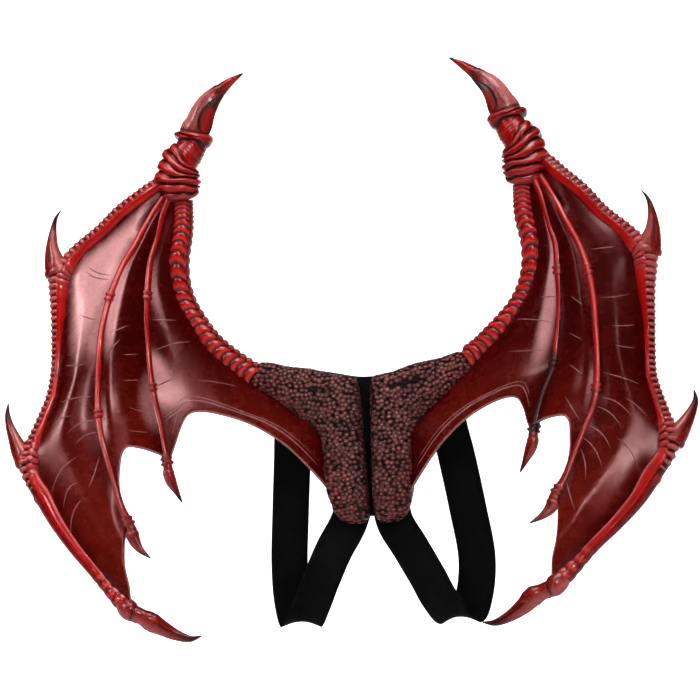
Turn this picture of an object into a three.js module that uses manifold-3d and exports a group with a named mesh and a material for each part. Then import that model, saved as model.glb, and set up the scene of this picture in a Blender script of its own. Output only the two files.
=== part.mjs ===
// Dragon wings of moulded foam, worn on the back by two elastic arm loops.
// Millimetres. +Z is up, +X right, the decorated side faces -Y and the wearer stands at +Y.
// The origin is the middle of the back panel's rear face.
import * as THREE from "three";
import Module from "manifold-3d";

const wasm = await Module();
wasm.setup();

// Main sizes
const REACH = 340; // centre line to the outermost spike
const RISE = 400; // scale of heights above the origin, just past the horn's tip
const FLARE = 180; // how far the lowest knuckles stand out behind the shoulder blocks
const GAP = 0.3; // clearance between pieces that touch
const ROOM = 0.5; // clearance of a web beside a thick bone
const SLANT = 0.4; // least sine of the angle at which a web's strand counts as leaving a bone
const FINEST = 0.2; // detail of a web finer than this is left out along its cut edges

// Bones, as half widths
const ARM = 12.5;
const LEAD = 8.5; // leading finger
const ROD = 3.7; // the two thin fingers
const WRIST = 20;
const HORN = 15.5;
const SPIKE = 9;
const CLAW = 9.5; // the leading finger's claw
const NAIL = 6; // the thin fingers' claws
const BONE_DEPTH = 0.9; // a bone's depth over its width

// Relief
const ARM_PLATES = 18;
const PLATE_STEP = 0.13; // how deep the groove below a plate is, over the arm's half width
const PLATE_BOW = 0.3; // how far a plate's middle runs ahead of its sides
const RIBS = { upper: 8, middle: 9, lower: 8 };
const RIB_STEP = 0.16;
const WRIST_FOLDS = 6;
const FOLD_STEP = 0.1;
const KNUCKLE = 1.45; // a rod's double ring over its shaft
const KNUCKLE_HALF = 6; // half its length

// Foam webs
const WEB = 2.4; // thickness
const PUFF = { outer: 9, middle: 11, inner: 10 }; // how far each web bulges out between its bones
// How much lower the right web's trailing edge hangs than the middle of the two, of its length
const DROOP = { outer: 0, middle: 0, inner: 0.014 };

// Shoulder blocks, back panel and straps
const PANEL = 3; // thickness
const PANEL_WING = 92; // centre line to the end of the panel's top band
const PANEL_TOP = 97;
const PANEL_DROP = 64;
const STRAP = { wide: 38, thick: 1.5, loop: 175, side: 93, back: 28 };
const BLOCK_BACK = PANEL + STRAP.thick + 2 * GAP;
const BLOCK = 28; // thickness
const BLOCK_HIGH = 100;
const BLOCK_WIDE = 120;
const WING_MID = BLOCK_BACK + BLOCK / 2; // depth of the wings' own middle surface at their root

const FRONT = new THREE.Vector3(0, -1, 0);

// Rows of numbers under named columns
function table(columns, ...rows) {
  const names = columns.split(" ");
  return rows.map((row) => Object.fromEntries(names.map((name, i) => [name, row[i]])));
}

// Paths: out, up and off are shares of REACH, RISE and FLARE; skew is how much higher, as a share
// of RISE, the left wing holds that point than the middle of the two; wide is a share of the bone.
const PATH = "out up off skew wide";
const ARM_PATH = table(PATH,
  [0.506, 0.65, 0.1, 0.008, 0.84], [0.509, 0.575, 0.12, 0.006, 0.88], [0.526, 0.505, 0.128, 0.003, 0.95],
  [0.526, 0.448, 0.128, 0.001, 0.96], [0.512, 0.396, 0.122, 0, 1], [0.482, 0.348, 0.122, 0, 1],
  [0.444, 0.305, 0.135, -0.004, 1.04], [0.406, 0.272, 0.125, -0.006, 1.08], [0.368, 0.243, 0.1, -0.006, 1.12],
  [0.327, 0.217, 0.075, -0.008, 1.16]);
const WRIST_PATH = table(PATH,
  [0.508, 0.652, 0.1, 0.008, 0.78], [0.51, 0.665, 0.105, 0.006, 0.96], [0.515, 0.692, 0.11, 0.004, 1.1],
  [0.518, 0.72, 0.11, 0.003, 1.16], [0.51, 0.753, 0.1, 0.002, 1.02], [0.485, 0.78, 0.085, 0.001, 0.88],
  [0.472, 0.798, 0.075, 0, 0.85], [0.47, 0.811, 0.07, 0, 0.98], [0.466, 0.822, 0.07, 0, 0.98],
  [0.464, 0.83, 0.07, 0, 0.8]);
const HORN_PATH = table(PATH,
  [0.464, 0.832, 0.07, 0, 1], [0.453, 0.85, 0.066, 0, 0.9], [0.44, 0.875, 0.06, 0.002, 0.8],
  [0.423, 0.898, 0.045, 0.004, 0.69], [0.402, 0.916, 0.035, 0.005, 0.55], [0.378, 0.933, 0.038, 0.004, 0.41],
  [0.347, 0.95, 0.055, 0.002, 0.25], [0.31, 0.968, 0.067, 0, 0.05]);
const LEAD_PATH = table(PATH,
  [0.55, 0.716, 0.11, 0.002, 0.94], [0.583, 0.697, 0.125, 0.003, 0.94], [0.624, 0.668, 0.165, 0.007, 0.94],
  [0.684, 0.626, 0.21, 0.011, 0.94], [0.741, 0.574, 0.255, 0.015, 0.94], [0.803, 0.528, 0.29, 0.017, 1.05],
  [0.838, 0.49, 0.31, 0.017, 1.35], [0.857, 0.465, 0.325, 0.017, 1.5], [0.859, 0.43, 0.35, 0.017, 1.35],
  [0.859, 0.383, 0.378, 0.016, 1.12], [0.862, 0.31, 0.41, 0.015, 0.88], [0.863, 0.235, 0.46, 0.014, 0.77],
  [0.866, 0.175, 0.53, 0.013, 0.82], [0.882, 0.127, 0.583, 0.013, 0.86], [0.9, 0.08, 0.64, 0.012, 0.94],
  [0.914, 0.025, 0.71, 0.009, 1.12], [0.906, -0.015, 0.735, 0.006, 1.06], [0.868, -0.062, 0.765, 0.004, 1.1],
  [0.829, -0.115, 0.8, 0.001, 0.94], [0.77, -0.175, 0.845, -0.005, 0.8],
  [0.706, -0.23, 0.888, -0.01, 0.72], [0.662, -0.27, 0.912, -0.012, 0.77],
  [0.632, -0.293, 0.925, -0.013, 0.98], [0.594, -0.323, 0.96, -0.013, 1]);
const CLAW_PATH = table(PATH,
  [0.628, -0.297, 0.93, -0.013, 0.82], [0.594, -0.322, 0.96, -0.013, 0.95],
  [0.565, -0.333, 0.96, -0.014, 0.74], [0.538, -0.345, 0.96, -0.015, 1], [0.515, -0.36, 0.955, -0.012, 0.84],
  [0.474, -0.382, 0.945, -0.01, 0.58], [0.43, -0.395, 0.95, -0.008, 0.32], [0.397, -0.391, 0.955, -0.006, 0.06]);
const LEAD_JOINTS = [7, 15, 22]; // rows of the leading finger's two joints and of its lower end
const MIDDLE_PATH = table(PATH,
  [0.562, 0.665, 0.135, 0.004, 1], [0.603, 0.608, 0.18, 0.006, 1], [0.638, 0.548, 0.26, 0.003, 1],
  [0.676, 0.485, 0.32, 0.003, 1.05], [0.701, 0.42, 0.39, 0.002, 1.1], [0.715, 0.36, 0.45, 0.002, 1.05],
  [0.72, 0.3, 0.51, 0.002, 1], [0.724, 0.218, 0.555, 0.001, 1], [0.72, 0.138, 0.605, -0.002, 1.1],
  [0.706, 0.085, 0.66, -0.002, 1.05], [0.682, 0.035, 0.725, -0.003, 1], [0.656, -0.022, 0.775, -0.006, 1],
  [0.635, -0.072, 0.81, -0.012, 1.05], [0.606, -0.118, 0.838, -0.017, 1.3]);
const INNER_PATH = table(PATH,
  [0.541, 0.665, 0.14, 0.004, 1], [0.565, 0.617, 0.15, 0.01, 1], [0.585, 0.553, 0.17, 0.014, 1.05],
  [0.603, 0.5, 0.215, 0.006, 1.15], [0.609, 0.425, 0.27, -0.002, 1.15], [0.611, 0.36, 0.3, -0.002, 1.05],
  [0.606, 0.3, 0.325, -0.002, 1], [0.6, 0.253, 0.355, -0.003, 1], [0.591, 0.198, 0.385, -0.005, 1.1],
  [0.576, 0.157, 0.42, -0.01, 1], [0.557, 0.11, 0.47, -0.015, 1], [0.545, 0.067, 0.51, -0.018, 1],
  [0.532, 0.023, 0.533, -0.02, 1.25]);
const ROD_KNUCKLES = [4, 8]; // rows of a thin finger's knuckles
const UPPER_SPIKE = table(PATH,
  [0.866, 0.47, 0.325, 0.017, 1.5], [0.876, 0.5, 0.322, 0.018, 1.2], [0.884, 0.533, 0.31, 0.019, 0.78],
  [0.882, 0.577, 0.29, 0.021, 0.4], [0.873, 0.607, 0.285, 0.022, 0.2], [0.856, 0.628, 0.283, 0.022, 0.05]);
const LOWER_SPIKE = table(PATH,
  [0.926, 0.015, 0.71, 0.01, 1.15], [0.946, 0.042, 0.69, 0.012, 1.02], [0.967, 0.072, 0.66, 0.015, 0.72],
  [0.983, 0.1, 0.64, 0.018, 0.47], [0.991, 0.125, 0.625, 0.022, 0.28], [0.988, 0.15, 0.62, 0.024, 0.05]);
const MIDDLE_CLAW = table(PATH,
  [0.606, -0.112, 0.838, -0.017, 0.65], [0.6, -0.135, 0.84, -0.018, 1.05], [0.592, -0.15, 0.85, -0.02, 0.95],
  [0.573, -0.167, 0.88, -0.022, 0.6], [0.538, -0.185, 0.92, -0.024, 0.1]);
const INNER_CLAW = table(PATH,
  [0.532, 0.028, 0.533, -0.02, 0.6], [0.53, 0.003, 0.54, -0.02, 0.9], [0.523, -0.016, 0.547, -0.02, 0.92],
  [0.509, -0.04, 0.555, -0.019, 0.55], [0.491, -0.07, 0.563, -0.019, 0.1]);
// The shoulder block's outer edge below the arm, where the inner web meets it
const BLOCK_EDGE = table(PATH,
  [0.272, 0.167, 0.06, -0.004, 0], [0.213, 0.13, 0.045, 0, 0], [0.175, 0.1, 0.02, 0, 0],
  [0.133, 0.07, 0.005, 0, 0], [0.118, 0.03, 0, 0, 0], [0.115, -0.04, 0, 0, 0], [0.112, -0.103, 0, 0, 0]);

// How far down a web's strands reach at each place across it, from its outer bone to its inner one
const REACHES = {
  outer: table("across down", [0, 1], [0.16, 1], [0.33, 0.998], [0.48, 0.985], [0.65, 0.98], [0.85, 0.982],
    [1, 1]),
  middle: table("across down", [0, 0.96], [0.07, 0.89], [0.18, 0.85], [0.28, 0.825], [0.42, 0.823],
    [0.66, 0.87], [0.88, 0.93], [1, 0.97]),
  inner: table("across down", [0, 1], [0.06, 0.94], [0.12, 0.866], [0.19, 0.815], [0.3, 0.795], [0.5, 0.816],
    [0.72, 0.879], [0.88, 0.945], [1, 1]),
};

// The block's sections run from its outer, lower edge (a) to its inner, upper edge (b), as shares of
// BLOCK_WIDE and BLOCK_HIGH; lift moves the back off the panel and thick scales BLOCK.
const BLOCK_SECTIONS = table("outA upA outB upB lift thick",
  [1, 0.75, 0.85, 0.98, 0.4, 0.92], [0.8, 0.62, 0.645, 0.91, 0.32, 0.96], [0.635, 0.46, 0.42, 0.87, 0.2, 1],
  [0.535, 0.35, 0.245, 0.8, 0.08, 1], [0.43, 0.26, 0.07, 0.77, 0, 1], [0.385, 0.15, 0.05, 0.58, 0, 1],
  [0.375, 0.03, 0.04, 0.3, 0, 1], [0.375, -0.16, 0.03, -0.12, 0, 1], [0.365, -0.37, 0.022, -0.4, 0, 0.95],
  [0.32, -0.57, 0.025, -0.6, 0, 0.82], [0.25, -0.68, 0.06, -0.7, 0, 0.5]);

// Half of the back panel's outline, as shares of PANEL_WING and PANEL_TOP or PANEL_DROP
const PANEL_EDGE = [
  [0, 0.79], [0.1, 0.79], [0.24, 0.82], [0.54, 0.88], [0.85, 0.93], [1, 0.955], [1.02, 0.87], [0.95, 0.68],
  [0.78, 0.515], [0.63, 0.39], [0.48, 0.27], [0.41, 0.1],
];
const PANEL_TAIL = [[0.39, 0.3], [0.35, 0.78], [0.26, 1], [0, 1]];

// One strap's centre line, from the panel's top band round the loop and up under the block's toe:
// out, back and up are shares of STRAP.side, STRAP.back and STRAP.loop; sway is how much further out
// than the middle of the two the right strap hangs
const STRAP_PATH = table("out back up sway",
  [0.77, 0, 0.48, 0], [0.8, 0, 0.34, 0], [0.84, 0, 0.2, 0], [0.87, 0.08, 0.1, 0], [0.9, 0.3, 0, 0],
  [0.985, 0.72, -0.34, 0], [1.045, 0.97, -0.64, 0], [1.02, 1, -0.84, -0.02], [0.95, 0.8, -0.955, -0.03],
  [0.83, 0.4, -0.955, -0.04], [0.71, 0.2, -0.86, -0.05], [0.585, 0.1, -0.72, -0.05],
  [0.42, 0.02, -0.55, -0.05], [0.265, 0, -0.41, -0.04], [0.2, 0, -0.3, -0.02]);

const RED = { color: 0x8e0f12, roughness: 0.28, metalness: 0 };
const FINISHES = {
  bone: RED,
  web: { color: 0x5c0507, roughness: 0.22, metalness: 0 },
  hide: { color: 0x4a1c1c, roughness: 0.55, metalness: 0 },
  claw: { color: 0x5f1f1d, roughness: 0.35, metalness: 0 },
  fabric: { color: 0x101012, roughness: 0.9, metalness: 0 },
};

// A closed solid through rings of equally many points, with a fan over each end
function throughRings(rings) {
  const sides = rings[0].length;
  const points = rings.flat();
  const faces = [];
  for (let i = 0; i + 1 < rings.length; i++) {
    for (let j = 0; j < sides; j++) {
      const a = i * sides + j;
      const b = i * sides + ((j + 1) % sides);
      faces.push(a, b, b + sides, a, b + sides, a + sides);
    }
  }
  for (const [ring, first] of [[rings[0], 0], [rings.at(-1), (rings.length - 1) * sides]]) {
    const middle = ring.reduce((sum, p) => sum.add(p), new THREE.Vector3()).divideScalar(sides);
    const hub = points.push(middle) - 1;
    for (let j = 0; j < sides; j++) {
      const a = first + j;
      const b = first + ((j + 1) % sides);
      faces.push(...(first === 0 ? [hub, b, a] : [hub, a, b]));
    }
  }
  return closed(points, faces);
}

// A geometry from points and faces, turned so that its faces point out
function closed(points, faces) {
  let volume = 0;
  for (let i = 0; i < faces.length; i += 3) {
    const [a, b, c] = faces.slice(i, i + 3).map((k) => points[k]);
    volume += a.dot(new THREE.Vector3().crossVectors(b, c));
  }
  if (volume < 0) faces.reverse();
  const geometry = new THREE.BufferGeometry().setFromPoints(points);
  geometry.setIndex(faces);
  return geometry;
}

function toSolid(geometry) {
  return new wasm.Manifold(new wasm.Mesh({
    numProp: 3,
    vertProperties: new Float32Array(geometry.getAttribute("position").array),
    triVerts: new Uint32Array(geometry.getIndex().array),
  }));
}

// The largest piece that is left of a geometry once the tools are taken out of it
function cut(geometry, tools, finest = 0.02) {
  let solid = toSolid(geometry);
  for (const tool of tools) solid = solid.subtract(toSolid(tool));
  const pieces = solid.simplify(finest).decompose().sort((a, b) => b.volume() - a.volume());
  const mesh = pieces[0].getMesh();
  const result = new THREE.BufferGeometry();
  result.setAttribute("position", new THREE.BufferAttribute(new Float32Array(mesh.vertProperties), 3));
  result.setIndex(Array.from(mesh.triVerts));
  return result;
}

// Where a table's row lies on one side
const placed = (row, side) => new THREE.Vector3(
  side * row.out * REACH, -WING_MID - row.off * FLARE, (row.up - side * row.skew) * RISE);

// A path through a table's rows on one side, with its half width along it
class Bone {
  constructor(rows, side, half, depth = BONE_DEPTH) {
    this.side = side;
    this.depth = depth;
    this.line = new THREE.CatmullRomCurve3(rows.map((row) => placed(row, side)), false, "centripetal");
    this.halves = rows.map((row) => row.wide * half);
  }

  half(u) {
    const place = this.line.getUtoTmapping(u) * (this.halves.length - 1);
    const i = Math.min(Math.floor(place), this.halves.length - 2);
    return THREE.MathUtils.lerp(this.halves[i], this.halves[i + 1], place - i);
  }

  // The share of the length at which the path comes nearest to a table's row
  near(row) {
    const goal = placed(row, this.side);
    const away = (u) => this.line.getPointAt(u).distanceTo(goal);
    let best = 0;
    for (let k = 1; k <= 400; k++) if (away(k / 400) < away(best)) best = k / 400;
    return best;
  }

  // A ring round the path: angle 0 is the outer or upper edge and a quarter turn the front.
  // scale(angle) changes the radius, bow moves the front along the path and grow widens it, and
  // lengthens it at the path's own ends.
  ring(u, sides, { scale = () => 1, bow = 0, grow = 0 } = {}) {
    const along = this.line.getTangentAt(u);
    const middle = this.line.getPointAt(u).addScaledVector(along, u === 0 ? -grow : u === 1 ? grow : 0);
    const across = new THREE.Vector3().crossVectors(along, FRONT).normalize().multiplyScalar(-this.side);
    const front = new THREE.Vector3().crossVectors(across, along).normalize();
    if (front.dot(FRONT) < 0) front.negate();
    const half = this.half(u);
    return Array.from({ length: sides }, (_, j) => {
      const angle = (2 * Math.PI * j) / sides;
      const radius = half * scale(angle);
      return middle.clone()
        .addScaledVector(across, (radius + grow) * Math.cos(angle))
        .addScaledVector(front, (radius * this.depth + grow) * Math.sin(angle))
        .addScaledVector(along, -bow * half * Math.max(0, Math.sin(angle)));
    });
  }
}

// A bone's stretch with raised plates or ribs; with no step it is the same shape without grooves
function ribbed(bone, from, to, { count, sides, step, reach, bow = 0, grow = 0 }) {
  const rings = [];
  const groove = (angle) => 1 - step * reach(angle);
  const end = (u) => bone.ring(u, sides, { grow });
  rings.push(end(from));
  for (let k = 0; k < count; k++) {
    const at = (share) => from + ((k + share) / count) * (to - from);
    rings.push(bone.ring(at(0.5), sides, { bow, grow }));
    if (k + 1 < count) rings.push(bone.ring(at(0.95), sides, { scale: groove, bow, grow }));
  }
  rings.push(end(to));
  return throughRings(rings);
}

const armSolid = (bone, options = {}) => ribbed(bone, 0, 1, {
  count: ARM_PLATES, sides: 7, step: PLATE_STEP, bow: PLATE_BOW,
  reach: (angle) => 0.45 + 0.55 * Math.abs(Math.cos(angle)), ...options,
});

const leadSolid = (bone, part, from, to, options = {}) => ribbed(bone, from, to, {
  count: RIBS[part], sides: 7, step: RIB_STEP,
  reach: (angle) => Math.max(0, Math.cos(angle)) ** 0.5, ...options,
});

// The wrist's wrapped folds
function wristSolid(bone, grow = 0) {
  const rings = [];
  const steps = 2 * WRIST_FOLDS + 4;
  for (let k = 0; k <= steps; k++) {
    const scale = k % 2 === 1 || k === 0 || k === steps ? 1 : 1 - FOLD_STEP;
    rings.push(bone.ring(k / steps, 9, { scale: () => scale, grow }));
  }
  return throughRings(rings);
}

// A thin finger with double rings at its knuckles
function rodSolid(bone, knuckles, grow = 0) {
  const length = bone.line.getLength();
  const stops = [];
  for (const at of knuckles) {
    for (const [shift, scale] of [[-1, 1], [-0.5, KNUCKLE], [0, 1.15], [0.5, KNUCKLE], [1, 1]]) {
      stops.push([at + (shift * KNUCKLE_HALF) / length, scale]);
    }
  }
  for (let k = 0; k <= 9; k++) {
    const u = k / 9;
    if (knuckles.every((at) => Math.abs(at - u) * length > 1.8 * KNUCKLE_HALF)) stops.push([u, 1]);
  }
  const inside = stops.filter(([u]) => u > 0.004 && u < 0.996);
  const rings = [[0, 1], ...inside.sort((a, b) => a[0] - b[0]), [1, KNUCKLE]];
  return throughRings(rings.map(([u, scale]) => bone.ring(u, 6, { scale: () => scale, grow })));
}

// A claw, spike or horn that narrows to a blunt tip
function taperSolid(bone, steps, sides, grow = 0) {
  return throughRings(Array.from({ length: steps + 1 }, (_, k) => bone.ring(k / steps, sides, { grow })));
}

// A web's edge runs beside a thick bone, or along a thin one's middle until that is cut out of it
const beside = (bone) => ({ bone, apart: true });
const along = (bone) => ({ bone, apart: false });

// How far a strand that leaves a bone's middle at a slant runs before it is clear of the bone
function clearing(bone, share, way) {
  const slant = Math.sqrt(1 - way.dot(bone.line.getTangentAt(share)) ** 2);
  return (bone.half(share) + ROOM) / Math.max(SLANT, slant);
}

// A sheet of foam strung between two bones, puffed out to the front and scalloped below
function webSolid(outer, inner, strands, puff, droop, start, cells) {
  const middle = strands.map(({ across, down }) => Array.from({ length: cells + 1 }, (_, k) => {
    const end = down + 1.5 * droop * Math.sin(Math.PI * across) ** 0.5;
    const share = Math.min(1, start + ((end - start) * k) / cells);
    const [a, b] = [outer, inner].map(({ bone }) => bone.line.getPointAt(share));
    const way = b.clone().sub(a).normalize();
    if (outer.apart) a.addScaledVector(way, clearing(outer.bone, share, way));
    if (inner.apart) b.addScaledVector(way, -clearing(inner.bone, share, way));
    const point = a.lerp(b, across);
    return point.addScaledVector(FRONT, puff * Math.sin(Math.PI * across) * Math.min(1, 2.2 * share));
  }));
  const faced = (sign) => middle.map((column, j) => column.map((point, k) => {
    const before = middle[Math.max(0, j - 1)][k];
    const after = middle[Math.min(strands.length - 1, j + 1)][k];
    const above = column[Math.max(0, k - 1)];
    const below = column[Math.min(cells, k + 1)];
    const normal = after.clone().sub(before).cross(below.clone().sub(above)).normalize();
    if (normal.dot(FRONT) < 0) normal.negate();
    return point.clone().addScaledVector(normal, (sign * WEB) / 2);
  }));
  const front = faced(1);
  const back = faced(-1);
  const rings = front.map((column, j) => [...column, ...back[j].slice().reverse()]);
  return stitched(rings, cells + 1);
}

// Rings of a flat strip, each running down its front and up its back, closed with a strip at each
// end. Front and back are split along the same diagonals, so that a twist keeps the strip's thickness.
function stitched(rings, rows) {
  const sides = 2 * rows;
  const points = rings.flat();
  const faces = [];
  for (let i = 0; i + 1 < rings.length; i++) {
    for (let j = 0; j < sides; j++) {
      const a = i * sides + j;
      const b = i * sides + ((j + 1) % sides);
      if (j < rows) faces.push(a, b, b + sides, a, b + sides, a + sides);
      else faces.push(a, b, a + sides, b, b + sides, a + sides);
    }
  }
  for (const [first, turn] of [[0, true], [(rings.length - 1) * sides, false]]) {
    for (let k = 0; k + 1 < rows; k++) {
      const [a, b, c, d] = [first + k, first + k + 1, first + sides - 2 - k, first + sides - 1 - k];
      faces.push(...(turn ? [a, c, b, a, d, c] : [a, b, c, a, c, d]));
    }
  }
  return closed(points, faces);
}

// The scaled shoulder block: rounded sections that fan round the corner between arm and toe
function blockSolid(side, grow = 0) {
  const rings = BLOCK_SECTIONS.map((row) => {
    const a = new THREE.Vector3(side * row.outA * BLOCK_WIDE, 0, row.upA * BLOCK_HIGH);
    const b = new THREE.Vector3(side * row.outB * BLOCK_WIDE, 0, row.upB * BLOCK_HIGH);
    const middle = a.clone().add(b).multiplyScalar(0.5);
    const half = b.clone().sub(a).multiplyScalar(0.5);
    half.setLength(half.length() + grow);
    const back = BLOCK_BACK + row.lift * BLOCK;
    middle.y = -back - (row.thick * BLOCK) / 2;
    return Array.from({ length: 12 }, (_, j) => {
      const angle = (2 * Math.PI * j) / 12;
      const soft = (value) => Math.sign(value) * Math.abs(value) ** 0.62;
      return middle.clone().addScaledVector(half, soft(Math.cos(angle)))
        .addScaledVector(FRONT, ((row.thick * BLOCK) / 2 + grow) * soft(Math.sin(angle)));
    });
  });
  return throughRings(rings);
}

function panelSolid() {
  const half = [
    ...PANEL_EDGE.map(([out, up]) => [out * PANEL_WING, up * PANEL_TOP]),
    ...PANEL_TAIL.map(([out, down]) => [out * PANEL_WING, -down * PANEL_DROP]),
  ];
  const outline = [...half, ...half.slice(1, -1).reverse().map(([x, z]) => [-x, z])];
  const shape = new THREE.Shape(outline.map(([x, z]) => new THREE.Vector2(x, z)));
  const geometry = new THREE.ExtrudeGeometry(shape, { depth: PANEL, bevelEnabled: false, steps: 1 });
  return geometry.rotateX(Math.PI / 2);
}

// An elastic loop: a flat band that keeps its face to the front down both runs
function strapSolid(side) {
  const front = PANEL + GAP + STRAP.thick / 2;
  const line = new THREE.CatmullRomCurve3(STRAP_PATH.map((row) => new THREE.Vector3(
    (side * row.out + row.sway) * STRAP.side, row.back * STRAP.back - front, row.up * STRAP.loop)),
  false, "centripetal");
  const steps = 24;
  return stitched(Array.from({ length: steps + 1 }, (_, k) => {
    const middle = line.getPointAt(k / steps);
    const along = line.getTangentAt(k / steps);
    const across = new THREE.Vector3(1, 0, 0).addScaledVector(along, -along.x).normalize();
    const face = new THREE.Vector3().crossVectors(along, across).normalize();
    return [[1, 1], [-1, 1], [-1, -1], [1, -1]].map(([u, v]) => middle.clone()
      .addScaledVector(across, (u * STRAP.wide) / 2).addScaledVector(face, (v * STRAP.thick) / 2));
  }), 2);
}

function mesh(name, geometry, finish) {
  const result = new THREE.Mesh(geometry, new THREE.MeshStandardMaterial(FINISHES[finish]));
  result.name = name;
  return result;
}

function wing(name, side) {
  const group = new THREE.Group();
  const bone = (rows, half, depth) => new Bone(rows, side, half, depth);
  const arm = bone(ARM_PATH, ARM);
  const lead = bone(LEAD_PATH, LEAD);
  const middle = bone(MIDDLE_PATH, ROD);
  const inner = bone(INNER_PATH, ROD);
  const wrist = bone(WRIST_PATH, WRIST, 0.8);
  const leadClaw = bone(CLAW_PATH, CLAW);
  const middleClaw = bone(MIDDLE_CLAW, NAIL);
  const innerClaw = bone(INNER_CLAW, NAIL);
  const edge = bone([...ARM_PATH, ...BLOCK_EDGE], ARM);

  const space = GAP / lead.line.getLength();
  const [first, second, last] = LEAD_JOINTS.map((i) => lead.near(LEAD_PATH[i]));
  const parts = {
    upper: [0, first - space], middle: [first + space, second - space], lower: [second + space, last],
  };
  const leadPart = (part, options) => leadSolid(lead, part, ...parts[part], options);
  const tool = { step: 0, grow: GAP };
  const leadTools = Object.keys(parts).map((part) => leadPart(part, tool));
  const knuckles = {
    middle: ROD_KNUCKLES.map((i) => middle.near(MIDDLE_PATH[i])),
    inner: ROD_KNUCKLES.map((i) => inner.near(INNER_PATH[i])),
  };

  const wristTool = wristSolid(wrist, GAP);
  const blockTool = blockSolid(side, GAP);
  const middleTool = rodSolid(middle, knuckles.middle, GAP);
  const innerTool = rodSolid(inner, knuckles.inner, GAP);
  const clawTool = taperSolid(leadClaw, 10, 8, GAP);
  const nailTools = [taperSolid(middleClaw, 5, 6, GAP), taperSolid(innerClaw, 5, 6, GAP)];
  const spikes = [bone(UPPER_SPIKE, SPIKE), bone(LOWER_SPIKE, SPIKE)];
  const spikeTools = spikes.map((spike) => taperSolid(spike, 6, 7, GAP));

  const add = (piece, geometry, finish) => group.add(mesh(`${name}_${piece}`, geometry, finish));
  add("shoulder_block", blockSolid(side), "hide");
  add("arm", cut(armSolid(arm), [wristTool, blockTool]), "bone");
  add("wrist", wristSolid(wrist), "bone");
  add("horn", cut(taperSolid(bone(HORN_PATH, HORN, 0.85), 8, 9), [wristTool]), "claw");
  add("leading_finger_upper", cut(leadPart("upper"), [wristTool]), "bone");
  add("leading_finger_middle", leadPart("middle"), "bone");
  add("leading_finger_lower", leadPart("lower"), "bone");
  add("upper_spike", cut(taperSolid(spikes[0], 6, 7), leadTools), "claw");
  add("lower_spike", cut(taperSolid(spikes[1], 6, 7), leadTools), "claw");
  add("leading_claw", cut(taperSolid(leadClaw, 10, 8), [leadTools[2]]), "claw");
  add("middle_finger", cut(rodSolid(middle, knuckles.middle), [wristTool, leadTools[0]]), "bone");
  add("middle_claw", cut(taperSolid(middleClaw, 5, 6), [middleTool]), "claw");
  add("inner_finger", cut(rodSolid(inner, knuckles.inner), [wristTool, middleTool]), "bone");
  add("inner_claw", cut(taperSolid(innerClaw, 5, 6), [innerTool]), "claw");

  const web = (piece, outer, inside, start, cells, tools) => {
    const sheet = webSolid(outer, inside, REACHES[piece], PUFF[piece], side * DROOP[piece], start, cells);
    add(`${piece}_web`, cut(sheet, tools, FINEST), "web");
  };
  web("outer", beside(lead), along(middle), 0, 12,
    [...leadTools, ...spikeTools, middleTool, wristTool, clawTool, nailTools[0]]);
  web("middle", along(middle), along(inner), 0.02, 7, [middleTool, innerTool, wristTool, nailTools[1]]);
  web("inner", along(inner), beside(edge), 0, 10,
    [innerTool, armSolid(arm, tool), blockTool, wristTool, nailTools[1]]);
  return group;
}

const wings = new THREE.Group();
wings.add(mesh("back_panel", panelSolid(), "fabric"));
for (const [name, side] of [["left", -1], ["right", 1]]) {
  wings.add(wing(name, side));
  wings.add(mesh(`${name}_strap`, strapSolid(side), "fabric"));
}

export default wings;
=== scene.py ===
"""Looks of a pair of moulded foam dragon wings that are worn on the back.

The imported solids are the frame. Detailed pieces in the same places stand for all of them here:
plated arms, wrapped wrists, horns, ribbed leading fingers, thin fingers, claws, veined webs, scaled
shoulder blocks, a back panel and two elastic arm loops.
Metres. +Z is up, +X right, the decorated side faces -Y and the wearer stands at +Y.
"""
import logging
import math
from dataclasses import dataclass, field
from enum import Enum
from typing import Callable, NamedTuple, Sequence

import bmesh
import bpy
import numpy as np
from mathutils import Matrix, Vector


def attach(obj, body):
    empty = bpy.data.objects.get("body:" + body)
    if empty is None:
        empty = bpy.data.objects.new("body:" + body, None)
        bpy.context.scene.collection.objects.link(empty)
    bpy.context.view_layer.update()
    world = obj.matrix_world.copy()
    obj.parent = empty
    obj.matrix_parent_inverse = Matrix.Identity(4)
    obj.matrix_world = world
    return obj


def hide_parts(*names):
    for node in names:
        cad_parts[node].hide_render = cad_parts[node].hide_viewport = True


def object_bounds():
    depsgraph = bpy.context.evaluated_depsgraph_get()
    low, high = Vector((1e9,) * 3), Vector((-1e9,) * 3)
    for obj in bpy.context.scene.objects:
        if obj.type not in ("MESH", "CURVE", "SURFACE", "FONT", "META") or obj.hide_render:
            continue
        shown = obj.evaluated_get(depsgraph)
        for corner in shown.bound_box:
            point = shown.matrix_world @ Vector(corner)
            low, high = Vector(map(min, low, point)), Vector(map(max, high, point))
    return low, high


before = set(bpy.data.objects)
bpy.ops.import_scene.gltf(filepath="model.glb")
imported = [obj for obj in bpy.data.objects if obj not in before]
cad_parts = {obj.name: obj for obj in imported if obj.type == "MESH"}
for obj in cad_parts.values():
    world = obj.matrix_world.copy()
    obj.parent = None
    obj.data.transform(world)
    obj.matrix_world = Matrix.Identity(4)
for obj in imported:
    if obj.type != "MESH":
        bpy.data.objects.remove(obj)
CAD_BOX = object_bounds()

log = logging.getLogger("wings")

Array = np.ndarray
Colour = tuple[float, float, float, float]

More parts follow.
